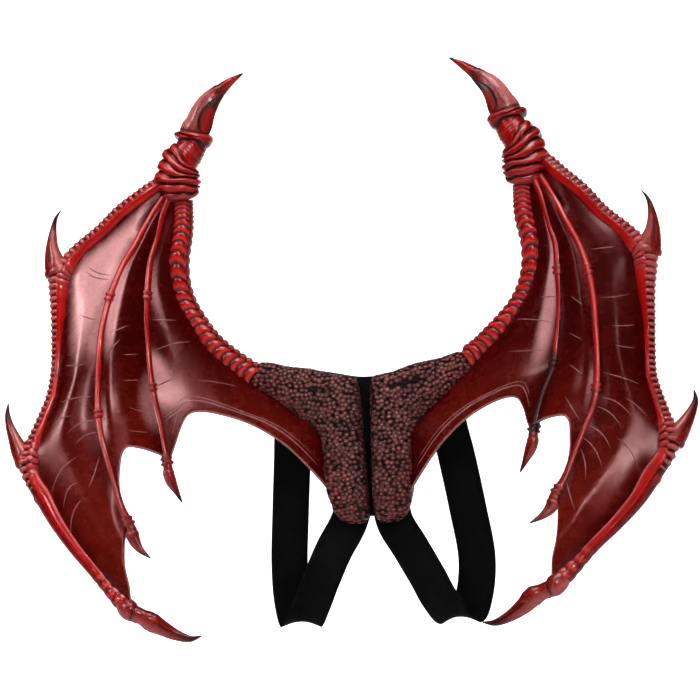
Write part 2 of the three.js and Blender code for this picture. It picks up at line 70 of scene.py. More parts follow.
# Main sizes, as in the solids
REACH = 0.340
RISE = 0.400
FLARE = 0.180
ARM = 0.0125
LEAD = 0.0085
ROD = 0.0037
WRIST = 0.020
HORN = 0.0155
SPIKE = 0.009
CLAW = 0.0095
NAIL = 0.006
BONE_DEPTH = 0.9
WEB = 0.0024
PUFF = {"outer": 0.009, "middle": 0.011, "inner": 0.010}
DROOP = {"outer": 0.0, "middle": 0.0, "inner": 0.014}
PANEL = 0.003
PANEL_WING = 0.092
PANEL_TOP = 0.097
PANEL_DROP = 0.064
STRAP_WIDE = 0.038
STRAP_THICK = 0.0015
STRAP_LOOP = 0.175
STRAP_SIDE = 0.093
STRAP_BACK = 0.028
GAP = 0.0003
BLOCK_BACK = PANEL + STRAP_THICK + 2 * GAP
BLOCK = 0.028
BLOCK_HIGH = 0.100
BLOCK_WIDE = 0.120
WING_MID = BLOCK_BACK + BLOCK / 2

FRONT = np.array([0.0, -1.0, 0.0])
TURN = 2 * math.pi


class Row(NamedTuple):
    """A station of a bone: shares of the main sizes, and of the bone's half width."""

    out: float
    up: float
    off: float
    skew: float
    wide: float


def stations(*values: tuple[float, float, float, float, float]) -> tuple[Row, ...]:
    """Turns plain rows of numbers into named stations.

    Args:
        values: the rows.

    Returns:
        The stations.
    """
    return tuple(Row(*row) for row in values)


# Each station: shares of the reach, the rise and the flare, how much higher the left wing holds it,
# and a share of the bone's half width
ARM_PATH = stations(
    (0.506, 0.65, 0.1, 0.008, 0.84), (0.509, 0.575, 0.12, 0.006, 0.88), (0.526, 0.505, 0.128, 0.003, 0.95),
    (0.526, 0.448, 0.128, 0.001, 0.96), (0.512, 0.396, 0.122, 0, 1), (0.482, 0.348, 0.122, 0, 1),
    (0.444, 0.305, 0.135, -0.004, 1.04), (0.406, 0.272, 0.125, -0.006, 1.08),
    (0.368, 0.243, 0.1, -0.006, 1.12), (0.327, 0.217, 0.075, -0.008, 1.16))
WRIST_PATH = stations(
    (0.508, 0.652, 0.1, 0.008, 0.78), (0.51, 0.665, 0.105, 0.006, 0.96), (0.515, 0.692, 0.11, 0.004, 1.1),
    (0.518, 0.72, 0.11, 0.003, 1.16), (0.51, 0.753, 0.1, 0.002, 1.02), (0.485, 0.78, 0.085, 0.001, 0.88),
    (0.472, 0.798, 0.075, 0, 0.85), (0.47, 0.811, 0.07, 0, 0.98), (0.466, 0.822, 0.07, 0, 0.98),
    (0.464, 0.83, 0.07, 0, 0.8))
HORN_PATH = stations(
    (0.464, 0.832, 0.07, 0, 1), (0.453, 0.85, 0.066, 0, 0.9), (0.44, 0.875, 0.06, 0.002, 0.8),
    (0.423, 0.898, 0.045, 0.004, 0.69), (0.402, 0.916, 0.035, 0.005, 0.55),
    (0.378, 0.933, 0.038, 0.004, 0.41), (0.347, 0.95, 0.055, 0.002, 0.25), (0.31, 0.968, 0.067, 0, 0.05))
LEAD_PATH = stations(
    (0.55, 0.716, 0.11, 0.002, 0.94), (0.583, 0.697, 0.125, 0.003, 0.94),
    (0.624, 0.668, 0.165, 0.007, 0.94), (0.684, 0.626, 0.21, 0.011, 0.94),
    (0.741, 0.574, 0.255, 0.015, 0.94), (0.803, 0.528, 0.29, 0.017, 1.05), (0.838, 0.49, 0.31, 0.017, 1.35),
    (0.857, 0.465, 0.325, 0.017, 1.5), (0.859, 0.43, 0.35, 0.017, 1.35), (0.859, 0.383, 0.378, 0.016, 1.12),
    (0.862, 0.31, 0.41, 0.015, 0.88), (0.863, 0.235, 0.46, 0.014, 0.77), (0.866, 0.175, 0.53, 0.013, 0.82),
    (0.882, 0.127, 0.583, 0.013, 0.86), (0.9, 0.08, 0.64, 0.012, 0.94), (0.914, 0.025, 0.71, 0.009, 1.12),
    (0.906, -0.015, 0.735, 0.006, 1.06), (0.868, -0.062, 0.765, 0.004, 1.1),
    (0.829, -0.115, 0.8, 0.001, 0.94), (0.77, -0.175, 0.845, -0.005, 0.8),
    (0.706, -0.23, 0.888, -0.01, 0.72), (0.662, -0.27, 0.912, -0.012, 0.77),
    (0.632, -0.293, 0.925, -0.013, 0.98), (0.594, -0.323, 0.96, -0.013, 1))
CLAW_PATH = stations(
    (0.628, -0.297, 0.93, -0.013, 0.82), (0.594, -0.322, 0.96, -0.013, 0.95),
    (0.565, -0.333, 0.96, -0.014, 0.74), (0.538, -0.345, 0.96, -0.015, 1),
    (0.515, -0.36, 0.955, -0.012, 0.84), (0.474, -0.382, 0.945, -0.01, 0.58),
    (0.43, -0.395, 0.95, -0.008, 0.32), (0.397, -0.391, 0.955, -0.006, 0.06))
MIDDLE_PATH = stations(
    (0.562, 0.665, 0.135, 0.004, 1), (0.603, 0.608, 0.18, 0.006, 1), (0.638, 0.548, 0.26, 0.003, 1),
    (0.676, 0.485, 0.32, 0.003, 1.05), (0.701, 0.42, 0.39, 0.002, 1.1), (0.715, 0.36, 0.45, 0.002, 1.05),
    (0.72, 0.3, 0.51, 0.002, 1), (0.724, 0.218, 0.555, 0.001, 1), (0.72, 0.138, 0.605, -0.002, 1.1),
    (0.706, 0.085, 0.66, -0.002, 1.05), (0.682, 0.035, 0.725, -0.003, 1), (0.656, -0.022, 0.775, -0.006, 1),
    (0.635, -0.072, 0.81, -0.012, 1.05), (0.606, -0.118, 0.838, -0.017, 1.3))
INNER_PATH = stations(
    (0.541, 0.665, 0.14, 0.004, 1), (0.565, 0.617, 0.15, 0.01, 1), (0.585, 0.553, 0.17, 0.014, 1.05),
    (0.603, 0.5, 0.215, 0.006, 1.15), (0.609, 0.425, 0.27, -0.002, 1.15), (0.611, 0.36, 0.3, -0.002, 1.05),
    (0.606, 0.3, 0.325, -0.002, 1), (0.6, 0.253, 0.355, -0.003, 1), (0.591, 0.198, 0.385, -0.005, 1.1),
    (0.576, 0.157, 0.42, -0.01, 1), (0.557, 0.11, 0.47, -0.015, 1), (0.545, 0.067, 0.51, -0.018, 1),
    (0.532, 0.023, 0.533, -0.02, 1.25))
UPPER_SPIKE = stations(
    (0.866, 0.47, 0.325, 0.017, 1.5), (0.876, 0.5, 0.322, 0.018, 1.2), (0.884, 0.533, 0.31, 0.019, 0.78),
    (0.882, 0.577, 0.29, 0.021, 0.4), (0.873, 0.607, 0.285, 0.022, 0.2), (0.856, 0.628, 0.283, 0.022, 0.05))
LOWER_SPIKE = stations(
    (0.926, 0.015, 0.71, 0.01, 1.15), (0.946, 0.042, 0.69, 0.012, 1.02), (0.967, 0.072, 0.66, 0.015, 0.72),
    (0.983, 0.1, 0.64, 0.018, 0.47), (0.991, 0.125, 0.625, 0.022, 0.28), (0.988, 0.15, 0.62, 0.024, 0.05))
MIDDLE_CLAW = stations(
    (0.606, -0.112, 0.838, -0.017, 0.65), (0.6, -0.135, 0.84, -0.018, 1.05),
    (0.592, -0.15, 0.85, -0.02, 0.95), (0.573, -0.167, 0.88, -0.022, 0.6),
    (0.538, -0.185, 0.92, -0.024, 0.1))
INNER_CLAW = stations(
    (0.532, 0.028, 0.533, -0.02, 0.6), (0.53, 0.003, 0.54, -0.02, 0.9), (0.523, -0.016, 0.547, -0.02, 0.92),
    (0.509, -0.04, 0.555, -0.019, 0.55), (0.491, -0.07, 0.563, -0.019, 0.1))
BLOCK_EDGE = stations(
    (0.272, 0.167, 0.06, -0.004, 0), (0.213, 0.13, 0.045, 0, 0), (0.175, 0.1, 0.02, 0, 0),
    (0.133, 0.07, 0.005, 0, 0), (0.118, 0.03, 0, 0, 0), (0.115, -0.04, 0, 0, 0), (0.112, -0.103, 0, 0, 0))
# How far down each web reaches across it
REACHES = {
    "outer": [
        (0, 1), (0.16, 1), (0.33, 0.998), (0.48, 0.985), (0.65, 0.98), (0.85, 0.982), (1, 1)],
    "middle": [
        (0, 0.96), (0.07, 0.89), (0.18, 0.85), (0.28, 0.825), (0.42, 0.823), (0.66, 0.87), (0.88, 0.93),
        (1, 0.97)],
    "inner": [
        (0, 1), (0.06, 0.94), (0.12, 0.866), (0.19, 0.815), (0.3, 0.795), (0.5, 0.816), (0.72, 0.879),
        (0.88, 0.945), (1, 1)],
}
# The shoulder block's sections: outer and lower edge, inner and upper edge, lift and thickness
BLOCK_SECTIONS = [
    (1, 0.75, 0.85, 0.98, 0.4, 0.92), (0.8, 0.62, 0.645, 0.91, 0.32, 0.96),
    (0.635, 0.46, 0.42, 0.87, 0.2, 1), (0.535, 0.35, 0.245, 0.8, 0.08, 1), (0.43, 0.26, 0.07, 0.77, 0, 1),
    (0.385, 0.15, 0.05, 0.58, 0, 1), (0.375, 0.03, 0.04, 0.3, 0, 1), (0.375, -0.16, 0.03, -0.12, 0, 1),
    (0.365, -0.37, 0.022, -0.4, 0, 0.95), (0.32, -0.57, 0.025, -0.6, 0, 0.82),
    (0.25, -0.68, 0.06, -0.7, 0, 0.5)]
PANEL_EDGE = [
    (0, 0.79), (0.1, 0.79), (0.24, 0.82), (0.54, 0.88), (0.85, 0.93), (1, 0.955), (1.02, 0.87),
    (0.95, 0.68), (0.78, 0.515), (0.63, 0.39), (0.48, 0.27), (0.41, 0.1)]
PANEL_TAIL = [
    (0.39, 0.3), (0.35, 0.78), (0.26, 1), (0, 1)]
STRAP_PATH = [
    (0.77, 0, 0.48, 0), (0.8, 0, 0.34, 0), (0.84, 0, 0.2, 0), (0.87, 0.08, 0.1, 0), (0.9, 0.3, 0, 0),
    (0.985, 0.72, -0.34, 0), (1.045, 0.97, -0.64, 0), (1.02, 1, -0.84, -0.02), (0.95, 0.8, -0.955, -0.03),
    (0.83, 0.4, -0.955, -0.04), (0.71, 0.2, -0.86, -0.05), (0.585, 0.1, -0.72, -0.05),
    (0.42, 0.02, -0.55, -0.05), (0.265, 0, -0.41, -0.04), (0.2, 0, -0.3, -0.02)]


class Side(Enum):
    """The two wings, as seen from the decorated side."""

    LEFT = -1
    RIGHT = 1

    @property
    def label(self) -> str:
        """The word that starts the names of the side's pieces.

        Returns:
            The word in small letters.
        """
        return self.name.lower()


def smooth(low: float, high: float, value: Array) -> Array:
    """A soft step from 0 at low to 1 at high.

    Args:
        low: where the step starts.
        high: where it ends.
        value: numbers to grade.

    Returns:
        Numbers from 0 to 1.
    """
    t = np.clip((value - low) / (high - low), 0.0, 1.0)
    return t * t * (3 - 2 * t)


def bell(value: Array, width: float) -> Array:
    """A bell of height 1 round 0.

    Args:
        value: distances from the middle.
        width: the bell's half width.

    Returns:
        Heights from 0 to 1.
    """
    return np.exp(-((value / width) ** 2))


def pillow(share: Array, sharp: float = 3.0) -> Array:
    """A padded bulge over a share from 0 to 1, with a crease at each end.

    Args:
        share: shares from 0 to 1.
        sharp: how flat the top is.

    Returns:
        Heights from 0 to 1.
    """
    return 1 - np.abs(2 * share - 1) ** sharp


def wrapped(angle: Array, centre: float) -> Array:
    """The signed distance of an angle from a centre, within half a turn.

    Args:
        angle: the angles.
        centre: the angle to measure from.

    Returns:
        Angles from -pi to pi.
    """
    return (angle - centre + math.pi) % TURN - math.pi


def ripple(points: Array, length: float, seed: int, waves: int = 7) -> Array:
    """A soft irregular field made of a few waves in fixed random directions.

    Args:
        points: places, one a row.
        length: rough distance between crests, in metres.
        seed: fixes the directions.
        waves: how many waves are added.

    Returns:
        One number a place, about -1 to 1.
    """
    rng = np.random.default_rng(seed)
    total = np.zeros(points.shape[:-1])
    for _ in range(waves):
        way = rng.normal(size=3)
        way *= TURN / length / np.linalg.norm(way) * rng.uniform(0.6, 1.5)
        total += np.sin(points @ way + rng.uniform(0, TURN))
    return total / math.sqrt(waves)


def placed(name: str, data: bpy.types.ID) -> bpy.types.Object:
    """Makes an object and links it to the scene.

    Args:
        name: its name.
        data: its mesh, lamp or camera.

    Returns:
        The object.
    """
    made = bpy.data.objects.new(name, data)
    bpy.context.scene.collection.objects.link(made)
    return made


def make_object(name: str, points: Array, faces: Sequence[Sequence[int]] | Array,
                marks: dict[str, Array] | None = None, uv: Array | None = None) -> bpy.types.Object:
    """Makes a smooth mesh object whose faces point outwards.

    Args:
        name: the piece's name.
        points: one place a row.
        faces: corner numbers, three or four to a face.
        marks: values for each point, kept as float attributes.
        uv: one pair of texture coordinates for each point.

    Returns:
        The object, linked to the scene.
    """
    points = np.asarray(points, float)
    faces = [tuple(int(i) for i in face) for face in faces]
    corners = np.array([(f[0], f[k], f[k + 1]) for f in faces for k in range(1, len(f) - 1)])
    a, b, c = (points[corners[:, k]] for k in range(3))
    if np.sum(a * np.cross(b, c)) < 0:
        faces = [face[::-1] for face in faces]
    mesh = bpy.data.meshes.new(name)
    mesh.from_pydata(points.tolist(), [], faces)
    mesh.polygons.foreach_set("use_smooth", [True] * len(mesh.polygons))
    for key, values in (marks or {}).items():
        layer = mesh.attributes.new(key, "FLOAT", "POINT")
        layer.data.foreach_set("value", np.asarray(values, np.float32).ravel())
    if uv is not None:
        layer = mesh.uv_layers.new(name="UVMap")
        corner = np.zeros(len(mesh.loops), np.int32)
        mesh.loops.foreach_get("vertex_index", corner)
        layer.data.foreach_set("uv", np.asarray(uv, np.float32)[corner].ravel())
    mesh.update()
    return placed(name, mesh)


def grid_faces(rows: int, columns: int, closed: bool = True) -> Array:
    """The quads between neighbouring rows of points.

    Args:
        rows: how many rows.
        columns: how many points in each.
        closed: whether each row runs round to its start.

    Returns:
        Corner numbers, four to a face.
    """
    wide = columns if closed else columns - 1
    i, j = np.meshgrid(np.arange(rows - 1), np.arange(wide), indexing="ij")
    a = i * columns + j
    b = i * columns + (j + 1) % columns
    return np.stack([a, b, b + columns, a + columns], -1).reshape(-1, 4)


def capped_faces(rings: int, sides: int) -> list[Sequence[int]]:
    """The faces of a tube whose two end rings each close on a point added after them.

    Args:
        rings: how many rings of points.
        sides: how many points in each.

    Returns:
        Corner numbers, three or four to a face.
    """
    faces = grid_faces(rings, sides).tolist()
    count = rings * sides
    for j in range(sides):
        k = (j + 1) % sides
        faces.append((count, k, j))
        faces.append((count + 1, count - sides + j, count - sides + k))
    return faces


def slab_faces(rows: int, size: int) -> list[Sequence[int]]:
    """The faces of a thin slab, whose rows of points run along its front and back along its rear.

    Args:
        rows: how many rows of points.
        size: how many points in each, front and rear together.

    Returns:
        Corner numbers, four to a face.
    """
    faces = grid_faces(rows, size).tolist()
    for first, flip in ((0, False), ((rows - 1) * size, True)):
        for k in range(size // 2 - 1):
            quad = (first + k, first + size - 1 - k, first + size - 2 - k, first + k + 1)
            faces.append(quad[::-1] if flip else quad)
    return faces


class Curve:
    """A smooth line through stations, measured by its own length."""

    FINE = 48

    def __init__(self, points: Array, extra: Array | None = None) -> None:
        """Fits the line.

        Args:
            points: the stations' places, one a row.
            extra: another value for each station, carried along smoothly.
        """
        extra = np.zeros(len(points)) if extra is None else np.asarray(extra, float)
        knots = np.column_stack([np.asarray(points, float), extra])
        knots = np.vstack([2 * knots[0] - knots[1], knots, 2 * knots[-1] - knots[-2]])
        t = np.linspace(0, 1, self.FINE, endpoint=False)[:, None]
        parts = []
        for p0, p1, p2, p3 in zip(knots, knots[1:], knots[2:], knots[3:]):
            d0, d1, d2 = (max(1e-3, np.linalg.norm((q - p)[:3]) ** 0.5)
                          for p, q in ((p0, p1), (p1, p2), (p2, p3)))
            m1 = ((p1 - p0) / d0 - (p2 - p0) / (d0 + d1) + (p2 - p1) / d1) * d1
            m2 = ((p2 - p1) / d1 - (p3 - p1) / (d1 + d2) + (p3 - p2) / d2) * d1
            parts.append(p1 + m1 * t + (3 * (p2 - p1) - 2 * m1 - m2) * t**2
                         + (2 * (p1 - p2) + m1 + m2) * t**3)
        dense = np.vstack([*parts, knots[-2]])
        self.places = dense[:, :3]
        self.values = dense[:, 3]
        steps = np.linalg.norm(np.diff(self.places, axis=0), axis=1)
        run = np.concatenate([[0], np.cumsum(steps)])
        self.length = float(run[-1])
        self.shares = run / run[-1]
        self.stops = self.shares[:: self.FINE]

    def at(self, u: Array) -> Array:
        """The places at shares of the length.

        Args:
            u: shares of the length.

        Returns:
            Places, one a row.
        """
        return np.stack([np.interp(u, self.shares, self.places[:, k]) for k in range(3)], -1)

    def value(self, u: Array) -> Array:
        """The carried value at shares of the length.

        Args:
            u: shares of the length.

        Returns:
            The values.
        """
        return np.interp(u, self.shares, self.values)

    def heading(self, u: Array) -> Array:
        """The unit directions at shares of the length.

        Args:
            u: shares of the length.

        Returns:
            Unit directions, one a row.
        """
        step = 0.004
        way = self.at(np.minimum(1, u + step)) - self.at(np.maximum(0, u - step))
        return way / np.linalg.norm(way, axis=-1, keepdims=True)


class Relief(NamedTuple):
    """A bone's surface: radius over its half width, and how washed, pale and warm the paint is; the pale
    marks are partly rubbed paint and partly painted highlight, the wash partly painted shade.
    """

    radius: Array
    wash: Array
    pale: Array
    hot: Array | float


class Bone(Curve):
    """A limb's middle line with its half width, on one side."""

    def __init__(self, rows: Sequence[Row], side: Side, half: float, depth: float = BONE_DEPTH) -> None:
        """Places the stations.

        Args:
            rows: the limb's stations.
            side: which wing.
            half: half width that the stations' shares refer to.
            depth: the section's depth over its width.
        """
        self.side = side
        self.depth = depth
        sign = side.value
        points = np.array([(sign * r.out * REACH, -WING_MID - r.off * FLARE,
                            (r.up - sign * r.skew) * RISE) for r in rows])
        super().__init__(points, np.array([r.wide * half for r in rows]))

    def axes(self, u: Array) -> tuple[Array, Array, Array]:
        """Directions along the limb, out to its outer edge and to its front.

        Args:
            u: shares of the length.

        Returns:
            The directions along, across and to the front, one a row each.
        """
        along = self.heading(u)
        across = np.cross(along, FRONT) * -self.side.value
        across /= np.linalg.norm(across, axis=-1, keepdims=True)
        front = np.cross(across, along)
        front *= np.where(front @ FRONT < 0, -1.0, 1.0)[..., None]
        return along, across, front

    def skin(self, name: str, rings: int, sides: int,
             relief: Callable[["Bone", Array, Array], Relief]) -> bpy.types.Object:
        """Makes the limb's closed surface.

        Args:
            name: the piece's name.
            rings: how many rings of points, evenly spaced.
            sides: points in a ring; the first is at the outer edge, a quarter turn on is the front.
            relief: gives the surface of this bone at shares and angles.

        Returns:
            The piece.
        """
        u = np.linspace(0, 1, rings)
        shares, angles = np.meshgrid(u, np.arange(sides) * TURN / sides, indexing="ij")
        form = relief(self, shares, angles)
        across, front = (way[:, None, :] for way in self.axes(u)[1:])
        half = self.value(u)[:, None, None]
        ring = np.cos(angles)[..., None] * across + self.depth * np.sin(angles)[..., None] * front
        points = self.at(u)[:, None, :] + half * form.radius[..., None] * ring
        faces = capped_faces(rings, sides)
        caps = [points[0].mean(0), points[-1].mean(0)]
        marks = {key: np.append((values * np.ones_like(shares)).ravel(), [1.0, 1.0])
                 for key, values in form._asdict().items() if key != "radius"}
        return make_object(name, np.vstack([points.reshape(-1, 3), *caps]), faces, marks)


class Board:
    """A short way to add and join the nodes of one tree."""

    def __init__(self, tree: bpy.types.NodeTree) -> None:
        """Keeps the tree.

        Args:
            tree: the tree to add to.
        """
        self.tree = tree

    def add(self, kind: str, inputs: dict | None = None, **settings: object) -> bpy.types.Node:
        """Adds a node.

        Args:
            kind: its type name.
            inputs: socket name or number to a value, or to a socket that feeds it.
            settings: the node's own properties.

        Returns:
            The node.
        """
        node = self.tree.nodes.new(kind)
        for key, value in settings.items():
            setattr(node, key, value)
        for key, value in (inputs or {}).items():
            self.feed(node, key, value)
        return node

    def feed(self, node: bpy.types.Node, key: str | int, value: object) -> None:
        """Sets or links one input of a node.

        Args:
            node: the node.
            key: a socket name or number.
            value: a plain value, or a socket to link.
        """
        socket = self.pick(node.inputs, key)
        if isinstance(value, bpy.types.NodeSocket):
            self.tree.links.new(value, socket)
        else:
            socket.default_value = value

    @staticmethod
    def pick(sockets: Sequence[bpy.types.NodeSocket], key: str | int) -> bpy.types.NodeSocket:
        """The socket with a number, or the one in use with a name.

        Args:
            sockets: the sockets to pick from.
            key: a socket name or number.

        Returns:
            The socket.
        """
        if isinstance(key, int):
            return sockets[key]
        return next(s for s in sockets if s.name == key and s.enabled)

    def out(self, node: bpy.types.Node, key: str | int = 0) -> bpy.types.NodeSocket:
        """An output of a node.

        Args:
            node: the node.
            key: a socket name or number.

        Returns:
            The socket.
        """
        return self.pick(node.outputs, key)

    def math(self, operation: str, a: object, b: object = 0.0, clamp: bool = False,
             third: object = 0.0) -> bpy.types.NodeSocket:
        """Adds a sum of two or three numbers and gives its result.

        Args:
            operation: what is done with them.
            a: the first.
            b: the second.
            clamp: whether the result stays from 0 to 1.
            third: a third number, for operations that take one.

        Returns:
            The result.
        """
        node = self.add("ShaderNodeMath", {0: a, 1: b, 2: third}, operation=operation, use_clamp=clamp)
        return node.outputs[0]

    def grade(self, value: object, low: float, high: float, start: float = 0.0,
              end: float = 1.0) -> bpy.types.NodeSocket:
        """Maps a number from one range to another, softly and within it.

        Args:
            value: the number.
            low: where the range starts.
            high: where it ends.
            start: the result at its start.
            end: the result at its end.

        Returns:
            The result.
        """
        node = self.add("ShaderNodeMapRange", {"Value": value, "From Min": low, "From Max": high,
                                               "To Min": start, "To Max": end},
                        interpolation_type="SMOOTHSTEP")
        return node.outputs[0]

    def mix(self, share: object, a: object, b: object, blend: str = "MIX") -> bpy.types.NodeSocket:
        """Mixes two colours.

        Args:
            share: how much of the second.
            a: the first colour.
            b: the second colour.
            blend: how they are mixed.

        Returns:
            The mixed colour.
        """
        node = self.add("ShaderNodeMix", {0: share, 6: a, 7: b}, data_type="RGBA", blend_type=blend)
        return node.outputs[2]


def new_tree(name: str, kind: str, inputs: dict[str, str | int | float],
             outputs: dict[str, str]) -> Board:
    """Starts a node group with named sockets.

    Args:
        name: the group's name.
        kind: its tree type.
        inputs: each input's name, with its default number or with its kind of socket.
        outputs: each output's name, with its kind of socket.

    Returns:
        A board on the group.
    """
    tree = bpy.data.node_groups.new(name, kind)
    for title, value in inputs.items():
        given = value if isinstance(value, str) else type(value).__name__.title()
        item = tree.interface.new_socket(title, in_out="INPUT", socket_type=f"NodeSocket{given}")
        if given != value:
            item.default_value = value
    for title, given in outputs.items():
        tree.interface.new_socket(title, in_out="OUTPUT", socket_type=f"NodeSocket{given}")
    return Board(tree)


class Trees:
    """The geometry node trees for what repeats or follows a line or a surface."""

    @staticmethod
    def _start(name: str, inputs: dict[str, int | float]) -> tuple[Board, bpy.types.Node]:
        """Starts a tree that takes and gives geometry and has a material.

        Args:
            name: its name.
            inputs: the name and default of each input of its own.

        Returns:
            A board on the tree and its input node.
        """
        board = new_tree(name, "GeometryNodeTree",
                         {"Geometry": "Geometry", **inputs, "Material": "Material"},
                         {"Geometry": "Geometry"})
        return board, board.add("NodeGroupInput")

    @staticmethod
    def _finish(board: Board, made: bpy.types.NodeSocket, source: bpy.types.Node) -> None:
        """Ends a tree: real geometry, smooth, with its material.

        Args:
            board: the tree to add to.
            made: the geometry so far.
            source: the tree's input node.
        """
        real = board.add("GeometryNodeRealizeInstances", {"Geometry": made})
        soft = board.add("GeometryNodeSetShadeSmooth", {"Geometry": real.outputs[0]})
        dressed = board.add("GeometryNodeSetMaterial",
                            {"Geometry": soft.outputs[0], "Material": board.out(source, "Material")})
        board.add("NodeGroupOutput", {0: dressed.outputs[0]})

    @staticmethod
    def _named(board: Board, name: str, kind: str) -> bpy.types.NodeSocket:
        """Reads a stored attribute.

        Args:
            board: the tree to add to.
            name: its name.
            kind: its data type.

        Returns:
            The attribute's value.
        """
        node = board.add("GeometryNodeInputNamedAttribute", {"Name": name}, data_type=kind)
        return board.out(node, "Attribute")

    @staticmethod
    def _store(board: Board, geometry: object, name: str, value: object, domain: str = "POINT") -> object:
        """Stores a float attribute.

        Args:
            board: the tree to add to.
            geometry: the geometry to mark.
            name: its name.
            value: the value to keep.
            domain: what carries it.

        Returns:
            The marked geometry.
        """
        node = board.add("GeometryNodeStoreNamedAttribute",
                         {"Geometry": geometry, "Name": name, "Value": value},
                         data_type="FLOAT", domain=domain)
        return node.outputs[0]

    def _turned(self, board: Board) -> bpy.types.NodeSocket:
        """The rotation that lays Z along and X across a guide line.

        Args:
            board: the tree to add to.

        Returns:
            The rotation.
        """
        first = board.add("FunctionNodeAlignRotationToVector",
                          {"Vector": self._named(board, "along", "FLOAT_VECTOR")}, axis="Z")
        second = board.add("FunctionNodeAlignRotationToVector",
                           {"Rotation": first.outputs[0],
                            "Vector": self._named(board, "across", "FLOAT_VECTOR")},
                           axis="X", pivot_axis="Z")
        return second.outputs[0]

    def ribs(self) -> bpy.types.NodeTree:
        """Short arched ribs round the outer edge of a guide line.

        Returns:
            The tree.
        """
        board, source = self._start("arched_ribs", {"Count": 40, "Thickness": 0.2, "Sweep": 2.0,
                                                    "Rise": 1.0, "Lean": 0.0})
        line = board.add("GeometryNodeMeshToCurve", {0: board.out(source, "Geometry")})
        spaced = board.add("GeometryNodeResampleCurve",
                           {0: line.outputs[0], "Count": board.out(source, "Count")}, mode="COUNT")
        sweep = board.out(source, "Sweep")
        first = board.math("MULTIPLY_ADD", sweep, -0.5, third=board.out(source, "Lean"))
        arc = board.add("GeometryNodeCurveArc",
                        {"Resolution": 9, "Radius": board.out(source, "Rise"), "Start Angle": first,
                         "Sweep Angle": sweep}, mode="RADIUS")
        place = board.add("GeometryNodeSplineParameter")
        swell = board.math("SINE", board.math("MULTIPLY", board.out(place, "Factor"), math.pi))
        swell = board.math("POWER", board.math("MAXIMUM", swell, 0.02), 0.3)
        ring = board.add("GeometryNodeCurvePrimitiveCircle",
                         {"Resolution": 6, "Radius": board.out(source, "Thickness")}, mode="RADIUS")
        rib = board.add("GeometryNodeCurveToMesh",
                        {"Curve": arc.outputs[0], "Profile Curve": ring.outputs[0], "Scale": swell,
                         "Fill Caps": True})
        spot = board.add("GeometryNodeInputPosition")
        apart = board.add("ShaderNodeSeparateXYZ", {0: spot.outputs[0]})
        flat = board.add("ShaderNodeCombineXYZ", {0: apart.outputs[0], 1: apart.outputs[1]})
        reach = board.add("ShaderNodeVectorMath", {0: flat.outputs[0]}, operation="LENGTH")
        over = board.math("SUBTRACT", reach.outputs["Value"], board.out(source, "Rise"))
        over = board.math("DIVIDE", over, board.out(source, "Thickness"))
        # Dark at the foot of each rib, dark wash and painted shade between the ribs; pale on its top, a
        # painted highlight
        marked = self._store(board, rib.outputs[0], "wash", board.grade(over, -0.55, 0.15, 1.0, 0.0))
        marked = self._store(board, marked, "pale", board.grade(over, 0.25, 1.0, 0.0, 0.8))
        marked = self._store(board, marked, "hot", 0.0)
        set_out = board.add("GeometryNodeInstanceOnPoints",
                            {"Points": spaced.outputs[0], "Instance": marked,
                             "Rotation": self._turned(board),
                             "Scale": self._named(board, "size", "FLOAT")})
        self._finish(board, set_out.outputs[0], source)
        return board.tree

    def strands(self) -> bpy.types.NodeTree:
        """Round cords that follow drawn lines, as thick as the lines' size says.

        Returns:
            The tree.
        """
        board, source = self._start("round_strands", {"Sides": 8, "Wash": 0.0, "Pale": 0.0})
        line = board.add("GeometryNodeMeshToCurve", {0: board.out(source, "Geometry")})
        ring = board.add("GeometryNodeCurvePrimitiveCircle",
                         {"Resolution": board.out(source, "Sides"), "Radius": 1.0}, mode="RADIUS")
        cord = board.add("GeometryNodeCurveToMesh",
                         {"Curve": line.outputs[0], "Profile Curve": ring.outputs[0],
                          "Scale": self._named(board, "size", "FLOAT"), "Fill Caps": True})
        marked = self._store(board, cord.outputs[0], "wash", board.out(source, "Wash"))
        marked = self._store(board, marked, "pale", board.out(source, "Pale"))
        marked = self._store(board, marked, "hot", 0.0)
        self._finish(board, marked, source)
        return board.tree

    def scales(self) -> bpy.types.NodeTree:
        """Small domed scales scattered closely over a surface.

        Returns:
            The tree.
        """
        board, source = self._start("domed_scales", {"Pitch": 0.004, "Scale Size": 0.003,
                                                     "Height": 0.5, "Seed": 3})
        bare = board.grade(self._named(board, "bare", "FLOAT"), 0.4, 0.9, 1.0, 0.0)
        spread = board.add("GeometryNodeDistributePointsOnFaces",
                           {"Mesh": board.out(source, "Geometry"), "Density Max": 300000.0,
                            "Distance Min": board.out(source, "Pitch"), "Density Factor": bare,
                            "Seed": board.out(source, "Seed")}, distribute_method="POISSON")
        ball = board.add("GeometryNodeMeshUVSphere", {"Segments": 8, "Rings": 5, "Radius": 1.0})
        spot = board.add("GeometryNodeInputPosition")
        level = board.add("ShaderNodeSeparateXYZ", {0: spot.outputs[0]}).outputs[2]
        flattened = board.add("ShaderNodeCombineXYZ",
                              {0: 1.0, 1: 0.82, 2: board.out(source, "Height")})
